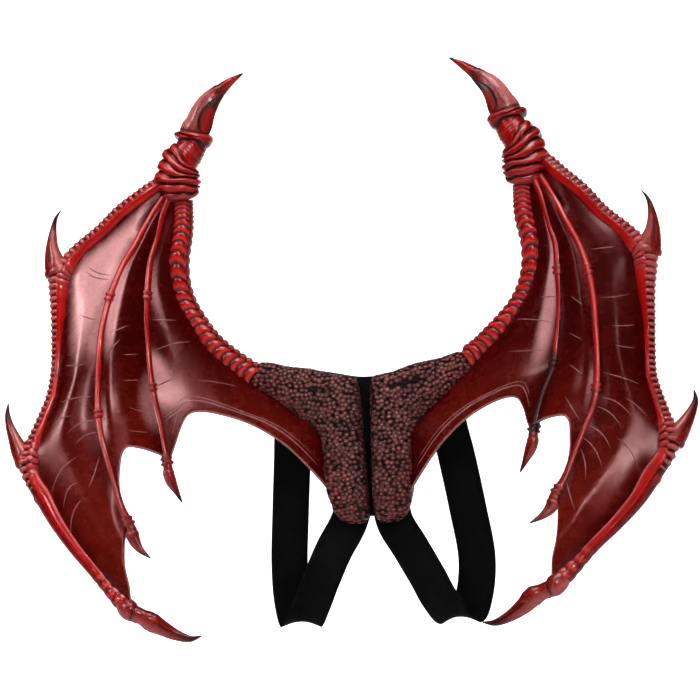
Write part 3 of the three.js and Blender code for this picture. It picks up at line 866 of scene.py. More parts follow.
        # Dark towards each scale's foot, painted shade between the scales; pale on its top, a painted
        # highlight
        dome = self._store(board, ball.outputs["Mesh"], "wash", board.grade(level, 0.3, 0.8, 1.0, 0.0))
        dome = self._store(board, dome, "pale", board.grade(level, 0.85, 1.0, 0.0, 0.7))
        chance = board.add("FunctionNodeRandomValue",
                           {"Min": 0.82, "Max": 1.15, "Seed": board.out(source, "Seed")}, data_type="FLOAT")
        size = board.math("MULTIPLY", board.out(chance, "Value"), board.out(source, "Scale Size"))
        scale = board.add("ShaderNodeVectorMath", {0: flattened.outputs[0], "Scale": size},
                          operation="SCALE")
        set_out = board.add("GeometryNodeInstanceOnPoints",
                            {"Points": spread.outputs["Points"], "Instance": dome,
                             "Rotation": spread.outputs["Rotation"], "Scale": scale.outputs[0]})
        tint = board.add("FunctionNodeRandomValue", {"Min": 0.0, "Max": 1.0, "Seed": 11},
                         data_type="FLOAT")
        tinted = self._store(board, set_out.outputs[0], "tint", board.out(tint, "Value"), "INSTANCE")
        self._finish(board, tinted, source)
        return board.tree

    def stitches(self) -> bpy.types.NodeTree:
        """Short sunk thread stitches spaced along a guide line.

        Returns:
            The tree.
        """
        board, source = self._start("thread_stitches", {"Pitch": 0.004, "Stitch": 0.0026,
                                                        "Thread": 0.0004})
        line = board.add("GeometryNodeMeshToCurve", {0: board.out(source, "Geometry")})
        spaced = board.add("GeometryNodeResampleCurve",
                           {0: line.outputs[0], "Length": board.out(source, "Pitch")}, mode="LENGTH")
        ball = board.add("GeometryNodeMeshUVSphere", {"Segments": 6, "Rings": 5, "Radius": 1.0})
        thread = board.out(source, "Thread")
        size = board.add("ShaderNodeCombineXYZ",
                         {0: thread, 1: thread,
                          2: board.math("MULTIPLY", board.out(source, "Stitch"), 0.5)})
        set_out = board.add("GeometryNodeInstanceOnPoints",
                            {"Points": spaced.outputs[0], "Instance": ball.outputs["Mesh"],
                             "Rotation": self._turned(board), "Scale": size.outputs[0]})
        self._finish(board, set_out.outputs[0], source)
        return board.tree


def grown(name: str, guide: bpy.types.Object, tree: bpy.types.NodeTree,
          values: dict[str, object]) -> bpy.types.Object:
    """Runs a tree on a guide object and keeps the result as a plain mesh.

    Args:
        name: the new piece's name.
        guide: what the tree works on; it is removed.
        tree: the geometry node tree.
        values: its named inputs.

    Returns:
        The piece.
    """
    modifier = guide.modifiers.new("grown", "NODES")
    modifier.node_group = tree
    sockets = {item.name: item.identifier for item in tree.interface.items_tree
               if item.item_type == "SOCKET" and item.in_out == "INPUT"}
    for key, value in values.items():
        modifier[sockets[key]] = value
    graph = bpy.context.evaluated_depsgraph_get()
    mesh = bpy.data.meshes.new_from_object(guide.evaluated_get(graph), depsgraph=graph)
    mesh.name = name
    guide.modifiers.remove(modifier)
    old = guide.data
    bpy.data.objects.remove(guide)
    bpy.data.meshes.remove(old)
    return placed(name, mesh)


def guide_lines(lines: Sequence[Array], sizes: Sequence[Array] | None = None,
                ways: Sequence[tuple[Array, Array]] | None = None) -> bpy.types.Object:
    """Draws lines as loose edges for a tree to follow.

    Args:
        lines: places along each line.
        sizes: a size at each place.
        ways: directions along and across at each place.

    Returns:
        The guide object.
    """
    points = np.vstack(lines)
    edges, start = [], 0
    for line in lines:
        edges += [(start + k, start + k + 1) for k in range(len(line) - 1)]
        start += len(line)
    mesh = bpy.data.meshes.new("guide")
    mesh.from_pydata(points.tolist(), edges, [])
    if sizes is not None:
        layer = mesh.attributes.new("size", "FLOAT", "POINT")
        layer.data.foreach_set("value", np.concatenate(sizes).astype(np.float32))
    if ways is not None:
        for key, k in (("along", 0), ("across", 1)):
            layer = mesh.attributes.new(key, "FLOAT_VECTOR", "POINT")
            layer.data.foreach_set("vector", np.vstack([w[k] for w in ways]).astype(np.float32).ravel())
    return placed("guide", mesh)


def paint_group() -> bpy.types.NodeTree:
    """Brushed paint on moulded foam: a base, pale crests that are partly rubbed paint and partly painted
    highlight, a warm tone and a dark wash that is partly painted shade.

    Returns:
        The group.
    """
    board = new_tree("Brushed paint", "ShaderNodeTree",
                     {"Base": "Color", "Crest": "Color", "Warm": "Color", "Dark": "Color",
                      "Wash": 0.0, "Pale": 0.0, "Hot": 0.0, "Mottle": 0.3, "Grain": 900.0,
                      "Sheen": 0.25, "Dull": 0.6, "Tint": 1.0, "Stipple": 0.45},
                     {"Color": "Color", "Roughness": "Float", "Height": "Float"})
    source = board.add("NodeGroupInput")
    spot = board.add("ShaderNodeTexCoord").outputs["Object"]
    broad = board.add("ShaderNodeTexNoise", {"Vector": spot, "Scale": 70.0, "Detail": 5.0,
                                             "Roughness": 0.6}).outputs["Fac"]
    fine = board.add("ShaderNodeTexNoise", {"Vector": spot, "Scale": board.out(source, "Grain"),
                                            "Detail": 3.0, "Roughness": 0.6}).outputs["Fac"]
    drift = board.grade(broad, 0.3, 0.72)
    tone = board.math("MULTIPLY", board.math("SUBTRACT", drift, 0.5), board.out(source, "Mottle"))
    lit = board.math("ADD", 1.0, tone)
    shaded = board.add("ShaderNodeVectorMath", {0: board.out(source, "Base"), "Scale": lit},
                       operation="SCALE").outputs[0]
    heat = board.math("MULTIPLY", board.out(source, "Hot"), board.grade(broad, 0.2, 0.6, 0.6, 1.0))
    warm = board.mix(heat, shaded, board.out(source, "Warm"))
    patchy = board.math("MULTIPLY", board.grade(fine, 0.3, 0.6, 1.0, 0.0), board.out(source, "Stipple"))
    # Pale crests: partly rubbed paint, partly painted highlight
    rub_and_highlight = board.math("MULTIPLY", board.out(source, "Pale"), board.math("SUBTRACT", 1.0, patchy), clamp=True)
    crest = board.mix(rub_and_highlight, warm, board.out(source, "Crest"))
    loose = board.math("MULTIPLY", board.math("SUBTRACT", fine, 0.5), 0.5)
    soak = board.grade(board.math("ADD", board.out(source, "Wash"), loose), 0.25, 0.85)
    colour = board.mix(soak, crest, board.out(source, "Dark"))
    colour = board.add("ShaderNodeVectorMath", {0: colour, "Scale": board.out(source, "Tint")},
                       operation="SCALE").outputs[0]
    worn = board.math("MULTIPLY", board.math("SUBTRACT", broad, 0.5), 0.18)
    gloss = board.math("ADD", board.out(source, "Sheen"), worn)
    span = board.math("SUBTRACT", board.out(source, "Dull"), board.out(source, "Sheen"))
    rough = board.math("ADD", gloss, board.math("MULTIPLY", soak, span), clamp=True)
    board.add("NodeGroupOutput", {"Color": colour, "Roughness": rough,
                                  "Height": board.math("ADD", fine, board.math("MULTIPLY", broad, 0.8))})
    return board.tree


def new_material(name: str) -> tuple[bpy.types.Material, Board]:
    """Starts an empty node material.

    Args:
        name: its name.

    Returns:
        The material and a board on its tree.
    """
    material = bpy.data.materials.new(name)
    material.use_nodes = True
    material.node_tree.nodes.clear()
    return material, Board(material.node_tree)


@dataclass(frozen=True)
class FoamFinish:
    """A painted foam surface."""

    name: str
    slot: str
    base: Colour
    crest: Colour
    warm: Colour
    dark: Colour
    mottle: float = 0.3
    grain: float = 900.0
    sheen: float = 0.25
    dull: float = 0.6
    bump: float = 0.00025
    coat: float = 0.4
    coat_dull: float = 0.18
    gleam: float = 0.35
    shine: Colour = (1, 1, 1, 1)
    stipple: float = 0.45
    tints: bool = False

    def build(self, group: bpy.types.NodeTree) -> bpy.types.Material:
        """Builds the material.

        Args:
            group: the shared paint group.

        Returns:
            The material.
        """
        material, board = new_material(self.name)
        marks = {key: board.add("ShaderNodeAttribute", attribute_name=key.lower()).outputs["Fac"]
                 for key in ("Wash", "Pale", "Hot")}
        paint = board.add("ShaderNodeGroup", node_tree=group)
        for key, value in {"Base": self.base, "Crest": self.crest, "Warm": self.warm, "Dark": self.dark,
                           "Mottle": self.mottle, "Grain": self.grain, "Sheen": self.sheen,
                           "Dull": self.dull, "Stipple": self.stipple, **marks}.items():
            board.feed(paint, key, value)
        if self.tints:
            tint = board.add("ShaderNodeAttribute", attribute_name="tint").outputs["Fac"]
            board.feed(paint, "Tint", board.grade(tint, 0.0, 1.0, 0.72, 1.3))
        bump = board.add("ShaderNodeBump", {"Strength": 1.0, "Distance": self.bump,
                                            "Height": paint.outputs["Height"]})
        shader = board.add("ShaderNodeBsdfPrincipled",
                           {"Base Color": paint.outputs["Color"],
                            "Roughness": paint.outputs["Roughness"],
                            "Normal": bump.outputs[0], "Coat Weight": self.coat,
                            "Coat Roughness": self.coat_dull, "Specular IOR Level": self.gleam,
                            "Specular Tint": self.shine})
        board.add("ShaderNodeOutputMaterial", {"Surface": shader.outputs[0]})
        return material


@dataclass(frozen=True)
class WovenFinish:
    """A woven band or cloth, patterned along its own texture coordinates."""

    name: str
    slot: str
    base: Colour
    light: Colour
    ribs: float
    picks: float
    bump: float
    fuzz: float = 0.15

    def build(self, group: bpy.types.NodeTree) -> bpy.types.Material:
        """Builds the material.

        Args:
            group: the shared weave group.

        Returns:
            The material.
        """
        material, board = new_material(self.name)
        weave = board.add("ShaderNodeGroup", node_tree=group)
        for key, value in {"Base": self.base, "Light": self.light, "Ribs": self.ribs,
                           "Picks": self.picks}.items():
            board.feed(weave, key, value)
        bump = board.add("ShaderNodeBump", {"Strength": 1.0, "Distance": self.bump,
                                            "Height": weave.outputs["Height"]})
        shader = board.add("ShaderNodeBsdfPrincipled",
                           {"Base Color": weave.outputs["Color"], "Roughness": weave.outputs["Roughness"],
                            "Normal": bump.outputs[0], "Sheen Weight": self.fuzz,
                            "Sheen Roughness": 0.5, "Specular IOR Level": 0.15})
        board.add("ShaderNodeOutputMaterial", {"Surface": shader.outputs[0]})
        return material


def weave_group() -> bpy.types.NodeTree:
    """Lengthwise ribs crossed by fine picks, with lint and soft wear.

    Returns:
        The group.
    """
    board = new_tree("Weave", "ShaderNodeTree",
                     {"Base": "Color", "Light": "Color", "Ribs": 30.0, "Picks": 300.0},
                     {"Color": "Color", "Roughness": "Float", "Height": "Float"})
    source = board.add("NodeGroupInput")
    texture = board.add("ShaderNodeTexCoord").outputs["UV"]
    apart = board.add("ShaderNodeSeparateXYZ", {0: texture})
    spot = board.add("ShaderNodeTexCoord").outputs["Object"]
    ribs = board.math("SINE", board.math("MULTIPLY", apart.outputs[0], board.out(source, "Ribs")))
    picks = board.math("SINE", board.math("MULTIPLY", apart.outputs[1], board.out(source, "Picks")))
    cloth = board.math("ADD", board.math("MULTIPLY", ribs, 0.5), board.math("MULTIPLY", picks, 0.35))
    lint = board.add("ShaderNodeTexNoise", {"Vector": spot, "Scale": 600.0, "Detail": 3.0}).outputs["Fac"]
    wear = board.add("ShaderNodeTexNoise", {"Vector": spot, "Scale": 35.0, "Detail": 3.0}).outputs["Fac"]
    share = board.math("ADD", board.grade(cloth, -0.8, 0.8, 0.0, 0.5),
                       board.math("MULTIPLY", board.grade(wear, 0.35, 0.7), 0.3), clamp=True)
    share = board.math("MULTIPLY", share, board.grade(lint, 0.2, 0.7, 0.6, 1.2), clamp=True)
    colour = board.mix(share, board.out(source, "Base"), board.out(source, "Light"))
    board.add("NodeGroupOutput", {"Color": colour, "Roughness": board.grade(lint, 0.2, 0.8, 0.7, 0.92),
                                  "Height": board.math("ADD", cloth, board.math("MULTIPLY", lint, 0.6))})
    return board.tree


BONE_RED = FoamFinish("Bone red", "bone", base=(0.22, 0.0030, 0.004, 1), crest=(0.58, 0.15, 0.145, 1),
                      warm=(0.43, 0.008, 0.005, 1), dark=(0.026, 0.0012, 0.0012, 1), mottle=0.6,
                      sheen=0.20, dull=0.34, coat=0.45, gleam=0.4, shine=(1, 0.75, 0.75, 1))
# The web's crest colour shows mostly in the painted highlights, and on the veins and rims
WEB_RED = FoamFinish("Web maroon", "web", base=(0.052, 0.0010, 0.0009, 1), crest=(0.50, 0.25, 0.25, 1),
                     warm=(0.115, 0.007, 0.003, 1), dark=(0.012, 0.001, 0.001, 1), mottle=0.35,
                     grain=500.0, sheen=0.27, dull=0.34, bump=0.0001, coat=0.1, gleam=0.45,
                     shine=(1, 0.5, 0.5, 1), stipple=0.12)
HORN_BROWN = FoamFinish("Horn brown red", "claw", base=(0.115, 0.006, 0.006, 1),
                        crest=(0.48, 0.15, 0.145, 1), warm=(0.34, 0.013, 0.007, 1),
                        dark=(0.014, 0.004, 0.004, 1), mottle=0.6, sheen=0.26, dull=0.38, coat=0.35,
                        gleam=0.35, shine=(1, 0.8, 0.8, 1))
HIDE = FoamFinish("Scaled hide", "hide", base=(0.080, 0.022, 0.020, 1), crest=(0.25, 0.125, 0.12, 1),
                  warm=(0.15, 0.012, 0.011, 1), dark=(0.016, 0.003, 0.0028, 1), mottle=0.5,
                  sheen=0.36, dull=0.5, coat=0.1, gleam=0.35, shine=(1, 0.85, 0.85, 1), tints=True)
ELASTIC = WovenFinish("Black elastic", "strap_fabric", base=(0.0008, 0.0008, 0.0009, 1),
                      light=(0.0055, 0.0055, 0.006, 1), ribs=TURN * 22, picks=TURN * 520, bump=0.00012,
                      fuzz=0.04)
CLOTH = WovenFinish("Black cloth", "strap_fabric", base=(0.0015, 0.0015, 0.0016, 1),
                    light=(0.008, 0.008, 0.0085, 1), ribs=TURN * 900, picks=TURN * 900, bump=0.0001,
                    fuzz=0.04)


class Workshop:
    """Keeps the trees and materials, and hands each finished piece to the frame."""

    def __init__(self) -> None:
        """Builds every tree and material once."""
        trees = Trees()
        self.ribs = trees.ribs()
        self.strands = trees.strands()
        self.scales = trees.scales()
        self.stitches = trees.stitches()
        paint, weave = paint_group(), weave_group()
        self.materials = {f: f.build(paint) for f in (BONE_RED, WEB_RED, HORN_BROWN, HIDE)}
        self.materials.update({f: f.build(weave) for f in (ELASTIC, CLOTH)})

    def finish(self, piece: bpy.types.Object, finish: FoamFinish | WovenFinish, *nodes: str) -> None:
        """Dresses a piece and puts it on the frame.

        Args:
            piece: the piece.
            finish: its surface.
            nodes: the solids that it stands for.
        """
        piece.data.materials.clear()
        piece.data.materials.append(self.materials[finish])
        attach(piece, "root")
        if nodes:
            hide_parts(*nodes)
        log.info("%s: %d faces", piece.name, len(piece.data.polygons))


@dataclass
class Limb:
    """A closed skin round a bone, in one finish."""

    name: str
    nodes: tuple[str, ...]
    rows: tuple[Row, ...]
    half: float
    finish: FoamFinish = BONE_RED
    depth: float = BONE_DEPTH
    rings: int = 110
    sides: int = 36

    def relief(self, bone: Bone, u: Array, angle: Array) -> Relief:
        """The surface; each kind of limb has its own.

        Args:
            bone: the middle line.
            u: shares of the length.
            angle: angles round the limb.

        Returns:
            The surface and its paint marks.
        """
        raise NotImplementedError

    def build(self, shop: Workshop, side: Side) -> Bone:
        """Builds the skin.

        Args:
            shop: trees and materials.
            side: which wing.

        Returns:
            The middle line.
        """
        bone = Bone(self.rows, side, self.half, self.depth)
        skin = bone.skin(f"{side.label}_{self.name}", self.rings, self.sides, self.relief)
        shop.finish(skin, self.finish, *(f"{side.label}_{node}" for node in self.nodes))
        return bone


@dataclass
class Arm(Limb):
    """The plated upper limb between the wrist and the shoulder block."""

    name: str = "plated_arm"
    nodes: tuple[str, ...] = ("arm",)
    rows: tuple[Row, ...] = ARM_PATH
    half: float = ARM
    rings: int = 350
    sides: int = 60
    # How many plates lie above each share of the length
    spread: tuple[tuple[float, float], ...] = ((0.0, 0.0), (0.1, 4.2), (0.22, 7.4), (0.45, 11.2),
                                               (0.7, 16.2), (1.0, 23.0))
    rise: float = 0.16
    bow: float = 1.0
    crease: float = 0.10
    strip: float = 0.62
    knob: float = 0.14
    groove: float = 0.05

    def relief(self, bone: Bone, u: Array, angle: Array) -> Relief:
        """Crescent plates, with a strip of small knobs along the neck side.

        Args:
            bone: the middle line; not used.
            u: shares of the length.
            angle: angles round the limb.

        Returns:
            The surface and its paint marks.
        """
        rng = np.random.default_rng(5)
        stops, counts = zip(*self.spread)
        knots = Curve(np.column_stack([stops, np.zeros((len(stops), 2))]), np.array(counts))
        even = np.interp(u, knots.places[:, 0], knots.values)
        run = even + self.bow * np.abs(np.sin(angle)) ** 1.5
        number = np.floor(run).astype(int)
        share = run - np.floor(run)
        lift = (0.8 + 0.4 * rng.random(number.max() + 1))[number]
        off = np.abs(wrapped(angle, math.pi))
        strip = 1 - smooth(self.strip * 0.9, self.strip * 1.1, off)
        plate = pillow(share ** 0.75, 2.6) * lift + 0.3 * (share - 0.5)
        knob_run = even * 1.15 + 0.5
        knob = pillow(knob_run - np.floor(knob_run), 2.4) * (1 - (off / self.strip) ** 2).clip(0)
        groove = bell(off - self.strip, 0.09)
        edge = np.minimum(share, 1 - share)
        plate_wash = bell(edge, self.crease)
        knob_edge = np.minimum(knob_run % 1, 1 - knob_run % 1)
        knob_wash = np.maximum(bell(knob_edge, 0.16), 0.45)
        radius = (1 - self.rise + self.rise * plate * (1 - strip)
                  + self.knob * knob * strip - self.groove * groove)
        wash = np.maximum(plate_wash * (1 - strip) + knob_wash * strip, 0.95 * groove)
        back = smooth(0.1, 0.6, -np.sin(angle))
        # Pale knobs along the neck side, and a painted highlight across each plate
        pale = 0.75 * strip * knob + 0.25 * (1 - strip) * bell(share - 0.62, 0.14)
        hot = (1 - strip) * bell(share - 0.5, 0.25) * (1 - back)
        return Relief(radius, wash, pale, hot)


@dataclass
class Wrist(Limb):
    """The wrapped folds where the fingers, the arm and the horn meet, with a collar on top."""

    name: str = "wrapped_wrist"
    nodes: tuple[str, ...] = ("wrist",)
    rows: tuple[Row, ...] = WRIST_PATH
    half: float = WRIST
    rings: int = 260
    sides: int = 96
    depth: float = 0.8
    rise: float = 0.17
    neck: tuple[float, float] = (0.60, 0.86)
    line: float = 0.024
    grain: float = 0.007
    wrinkle: float = 0.018
    notch: float = 0.05
    # Each crease: its share of the length, how much higher its outer end is, and its waviness
    creases: tuple[tuple[float, float, float], ...] = (
        (0.0, 0.0, 0.0), (0.115, 0.035, 0.018), (0.215, 0.065, 0.014), (0.315, 0.085, 0.012),
        (0.405, 0.10, 0.010), (0.495, 0.105, 0.012), (0.60, 0.095, 0.010), (0.855, 0.03, 0.004),
        (0.925, 0.022, 0.003), (1.0, 0.0, 0.0))

    def relief(self, bone: Bone, u: Array, angle: Array) -> Relief:
        """Rolls wound round the wrist, a finely wrinkled neck and the collar's two rings.

        Args:
            bone: the middle line; not used.
            u: shares of the length.
            angle: angles round the limb.

        Returns:
            The surface and its paint marks.
        """
        lines = [base - tilt * np.cos(angle)
                 + wave * (np.sin(2 * angle + 2.3 * k) + 0.6 * np.sin(5 * angle + k))
                 for k, (base, tilt, wave) in enumerate(self.creases)]
        radius = np.full_like(u, 1 - self.rise)
        wash = np.zeros_like(u)
        pale = np.zeros_like(u)
        for k, (low, high) in enumerate(zip(lines, lines[1:])):
            span = np.maximum(high - low, 0.02)
            share = (u - low) / span
            inside = (share >= 0) & (share <= 1)
            part = np.clip(share, 0, 1)
            neck = k == len(lines) - 4
            fold = self.rise * (0.45 if neck else 0.85 + 0.45 * ((k * 7) % 5) / 4)
            lean = part ** 0.8
            radius = np.where(inside, 1 - self.rise + fold * pillow(lean, 5.0 if neck else 2.6), radius)
            edge = np.minimum(part, 1 - part) * span
            wash = np.where(inside, np.maximum(bell(edge, 0.015), wash), wash)
            pale = np.where(inside, (0.1 if neck else 0.3) * bell(part - 0.6, 0.13), pale)
            line = bell(part - 0.42 - 0.16 * np.sin(3 * angle + 2 * k), 0.07)
            second = bell(part - 0.74 - 0.1 * np.sin(2 * angle + k), 0.05)
            line = np.maximum(line * bell(wrapped(angle, 2 + k), 1.1),
                              second * bell(wrapped(angle, 0.8 - k), 1.3))
            line = np.where(inside & (not neck), line, 0)
            radius = radius - self.line * line
            wash = np.maximum(wash, 0.7 * line)
        fine = np.sin(120 * u + 5 * np.sin(2 * angle) + 2 * np.cos(5 * angle) + 18 * u * np.cos(angle))
        radius = radius + self.grain * fine
        wash = np.maximum(wash, 0.42 * smooth(0.45, 0.95, -fine))
        low, high = self.neck
        soft = smooth(low, low + 0.05, u) * (1 - smooth(high - 0.05, high, u))
        wrinkle = soft * np.sin(150 * u + 3 * np.sin(3 * angle)) * bell(wrapped(angle, 0.2), 1.3)
        wash = np.maximum(wash, 0.55 * smooth(0.2, 0.9, -wrinkle))
        notch = bell(u - 0.06 - 0.025 * np.abs((wrapped(angle, 2.3) * 3) % 2 - 1), 0.012)
        notch = notch * bell(wrapped(angle, 2.3), 0.55)
        radius = radius + self.wrinkle * wrinkle - self.notch * notch
        wash = np.maximum(wash, 0.8 * notch)
        return Relief(radius, wash, pale, 0.25 * (1 - wash))


@dataclass
class Horn(Limb):
    """The curved horn, with a scooped flute on its inner front and a step on its outer edge."""

    name: str = "fluted_horn"
    nodes: tuple[str, ...] = ("horn",)
    rows: tuple[Row, ...] = (Row(0.469, 0.81, 0.07, 0.0, 0.98), *HORN_PATH)
    half: float = HORN
    finish: FoamFinish = HORN_BROWN
    rings: int = 170
    sides: int = 84
    depth: float = 0.85
    flute_at: float = 0.72
    flute_wide: float = 0.80
    flute_deep: float = 0.26
    rim: float = 0.05
    flute_ends: tuple[float, float] = (0.13, 0.66)
    step_at: float = 0.665
    step: float = 0.12

    def relief(self, bone: Bone, u: Array, angle: Array) -> Relief:
        """The flute with its rim, the step and the dark tip.

        Args:
            bone: the middle line; not used.
            u: shares of the length.
            angle: angles round the limb.

        Returns:
            The surface and its paint marks.
        """
        start, end = self.flute_ends
        share = np.clip((u - start) / (end - start), 0, 1)
        wide = self.flute_wide * np.clip(np.sin(math.pi * share ** 0.62), 0, 1) ** 0.55 + 1e-4
        away = wrapped(angle, self.flute_at - 0.25 * share) / wide
        inside = ((u > start) & (u < end)).astype(float)
        bowl = np.clip(1 - away ** 2, 0, 1) * inside
        rim = bell(np.abs(away) - 1, 0.14 / np.maximum(wide, 0.2)) * inside
        outer = bell(wrapped(angle, math.pi - 0.3), 1.2)
        notch = smooth(self.step_at - 0.012, self.step_at + 0.004, u)
        notch = notch * (1 - smooth(self.step_at, 0.85, u))
        radius = 1 - self.flute_deep * bowl + self.rim * rim - self.step * notch * outer
        line = bell(u - self.step_at + 0.03 * np.cos(angle), 0.012) * (0.35 + 0.65 * outer)
        tip = smooth(0.90, 0.99, u)
        streak = bell(wrapped(angle, 1.75 + 0.3 * u), 0.16) * (1 - smooth(0.55, 0.66, u))
        wash = np.maximum.reduce([rim, 0.9 * line, tip, 0.45 * streak, 0.7 * bell(u - 0.09, 0.02),
                                  0.75 * bowl * (smooth(0.4, 0.62, share) + 0.9 * (away > 0.45))])
        pale = outer * (1 - smooth(0.52, 0.68, u)) * (1 - 0.6 * streak)
        hot = np.maximum(bowl * (1 - smooth(0.5, 0.8, share)), smooth(0.68, 0.76, u) * (1 - tip) * 0.8)
        return Relief(radius, np.clip(wash, 0, 1), pale, hot)


@dataclass
class LeadingFinger(Limb):
    """The long ribbed finger, with a smooth band on the web side and ribs on the outer edge."""

    name: str = "leading_finger"
    nodes: tuple[str, ...] = tuple(f"leading_finger_{part}" for part in ("upper", "middle", "lower"))
    rows: tuple[Row, ...] = LEAD_PATH
    half: float = LEAD
    rings: int = 620
    sides: int = 44
    ribs: int = 60
    rib_thick: float = 0.34
    rib_sweep: float = 2.6
    rib_rise: float = 0.74
    rib_lean: float = 0.45
    rib_from: float = 0.02
    rib_past: float = 0.09
    rib_places: int = 260
    zone: float = 1.32
    # The stations of the two joints and of the end's rings
    first: int = 7
    second: int = 15
    last: int = 22
    fold_rate: float = 900.0
    ring_pitch: float = 0.0105

    def relief(self, bone: Bone, u: Array, angle: Array) -> Relief:
        """The finger's core: band, ribbed zone, folds at the joints and rings at the end.

        Args:
            bone: the middle line.
            u: shares of the length.
            angle: angles round the limb.

        Returns:
            The surface and its paint marks.
        """
        one, two, end = (bone.stops[k] for k in (self.first, self.second, self.last))
        off = np.abs(wrapped(angle, 0.0))
        ribbed = 1 - smooth(self.zone * 0.93, self.zone * 1.07, off)
        ribbed = ribbed * (1 - smooth(two + 0.04, two + 0.1, u))
        groove = bell(off - self.zone, 0.10) * (1 - smooth(end - 0.05, end, u))
        joints = bell(u - one, 0.028) + bell(u - two, 0.03)
        wave = np.sin(u * bone.length * self.fold_rate + 2.2 * np.cos(angle))
        folds = joints * wave
        close = smooth(end - 0.075, end - 0.055, u)
        ring_run = (u - end + 0.07) * bone.length / self.ring_pitch + 0.3 * np.cos(angle + 1.0)
        ring_share = ring_run - np.floor(ring_run)
        rings = close * (pillow(ring_share, 2.6) - 0.6)
        ring_wash = 0.8 * close * bell(np.minimum(ring_share, 1 - ring_share), 0.1)
        bump = bell(u - two - 0.075, 0.008) * bell(wrapped(angle, 0.3), 0.8)
        radius = 1 - 0.10 * ribbed - 0.07 * groove + 0.05 * folds + 0.10 * rings + 0.14 * bump
        low = smooth(two + 0.03, two + 0.09, u) * (1 - smooth(0.9, 1.3, off))
        wash = np.maximum.reduce([0.95 * ribbed, 0.85 * groove, ring_wash,
                                  joints * smooth(0.2, 0.9, -wave), 0.62 * low])
        ridge = bell(wrapped(angle, 2.45), 0.17) * smooth(two + 0.01, two + 0.05, u)
        ridge = ridge * (1 - smooth(end - 0.1, end, u))
        beside = bell(wrapped(angle, 2.05), 0.16) * ridge.max(1, keepdims=True)
        radius = radius + 0.14 * ridge - 0.06 * beside
        # Pale on the joints, the rings and the bump, and a painted highlight along the ridge
        pale = 0.35 * joints + 0.35 * close * bell(ring_share - 0.5, 0.2) + 0.5 * bump + 0.8 * ridge
        hot = (1 - ribbed) * bell(wrapped(angle, 1.9), 0.8) * (0.7 - 0.3 * smooth(two, end, u))
        return Relief(radius, wash, pale, hot)

    def build(self, shop: Workshop, side: Side) -> Bone:
        """Builds the core and grows the ribs along it.

        Args:
            shop: trees and materials.
            side: which wing.

        Returns:
            The middle line.
        """
        bone = super().build(shop, side)
        two = bone.stops[self.second]
        last = two + self.rib_past
        u = np.linspace(self.rib_from, last, self.rib_places)
        along, across, _ = bone.axes(u)
        fade = 1 + 0.2 * bell(u - two, 0.03) - 0.3 * smooth(two + 0.02, last, u)
        guide = guide_lines([bone.at(u)], [bone.value(u) * fade], [(along * side.value, across)])
        ribs = grown(f"{side.label}_finger_ribs", guide, shop.ribs,
                     {"Count": self.ribs, "Thickness": self.rib_thick, "Sweep": self.rib_sweep,
                      "Rise": self.rib_rise, "Lean": self.rib_lean,
                      "Material": shop.materials[BONE_RED]})
        shop.finish(ribs, BONE_RED)
        return bone


@dataclass
class ThinFinger(Limb):
    """A thin rod with double rings at its knuckles."""

    # How strong the painted shade is on the outer flank, and on the right wing's lower end
    dark_flank: float = 0.0
    dark_end: float = 0.0
    knuckles: tuple[int, int] = (4, 8)
    rings: int = 420
    sides: int = 22
    ring_gap: float = 0.0026
    ring_wide: float = 0.0014
    ring_rise: float = 0.42
    ring_shadow: float = 0.0007
    seam: float = 0.0006
    swell: float = 0.12
    swell_long: float = 0.006
    last_knuckle: float = 0.985
    ridge: float = 0.08

    def relief(self, bone: Bone, u: Array, angle: Array) -> Relief:
        """Rings and creases at the knuckles, a raised ridge with a painted highlight, and painted shade on
        the flanks and on the right wing's lower end.

        Args:
            bone: the middle line.
            u: shares of the length.
            angle: angles round the limb.

        Returns:
            The surface and its paint marks.
        """
        radius = np.ones_like(u)
        wash = np.zeros_like(u)
        for stop in [*(bone.stops[k] for k in self.knuckles), self.last_knuckle]:
            run = (u - stop) * bone.length
            for sign in (-1, 1):
                radius += self.ring_rise * bell(run - sign * self.ring_gap, self.ring_wide)
                wash = np.maximum(wash, 0.8 * bell(run - sign * self.ring_gap * 1.95, self.ring_shadow))
            radius += self.swell * bell(run, self.swell_long)
            wash = np.maximum(wash, 0.85 * bell(run, self.seam))
        # Painted shade on the outer flank, and on the right wing's lower end
        flank = bell(wrapped(angle, 0.35), 0.75) * smooth(0.25, 0.5, u)
        painted_shade_end = self.dark_end * (bone.side is Side.RIGHT) * smooth(0.64, 0.72, u)
        worn = 0.5 * smooth(0.55, 0.75, u)
        wash = np.maximum.reduce([wash, self.dark_flank * flank, painted_shade_end, worn])
        # A painted highlight along the raised ridge
        ridge = bell(wrapped(angle, 1.35), 0.26)
        radius += self.ridge * ridge
        # Painted shade on the side towards the inner edge
        under = 0.5 * bell(wrapped(angle, 2.7), 0.6)
        return Relief(radius, np.maximum(wash, under), 0.85 * ridge, 0.35)


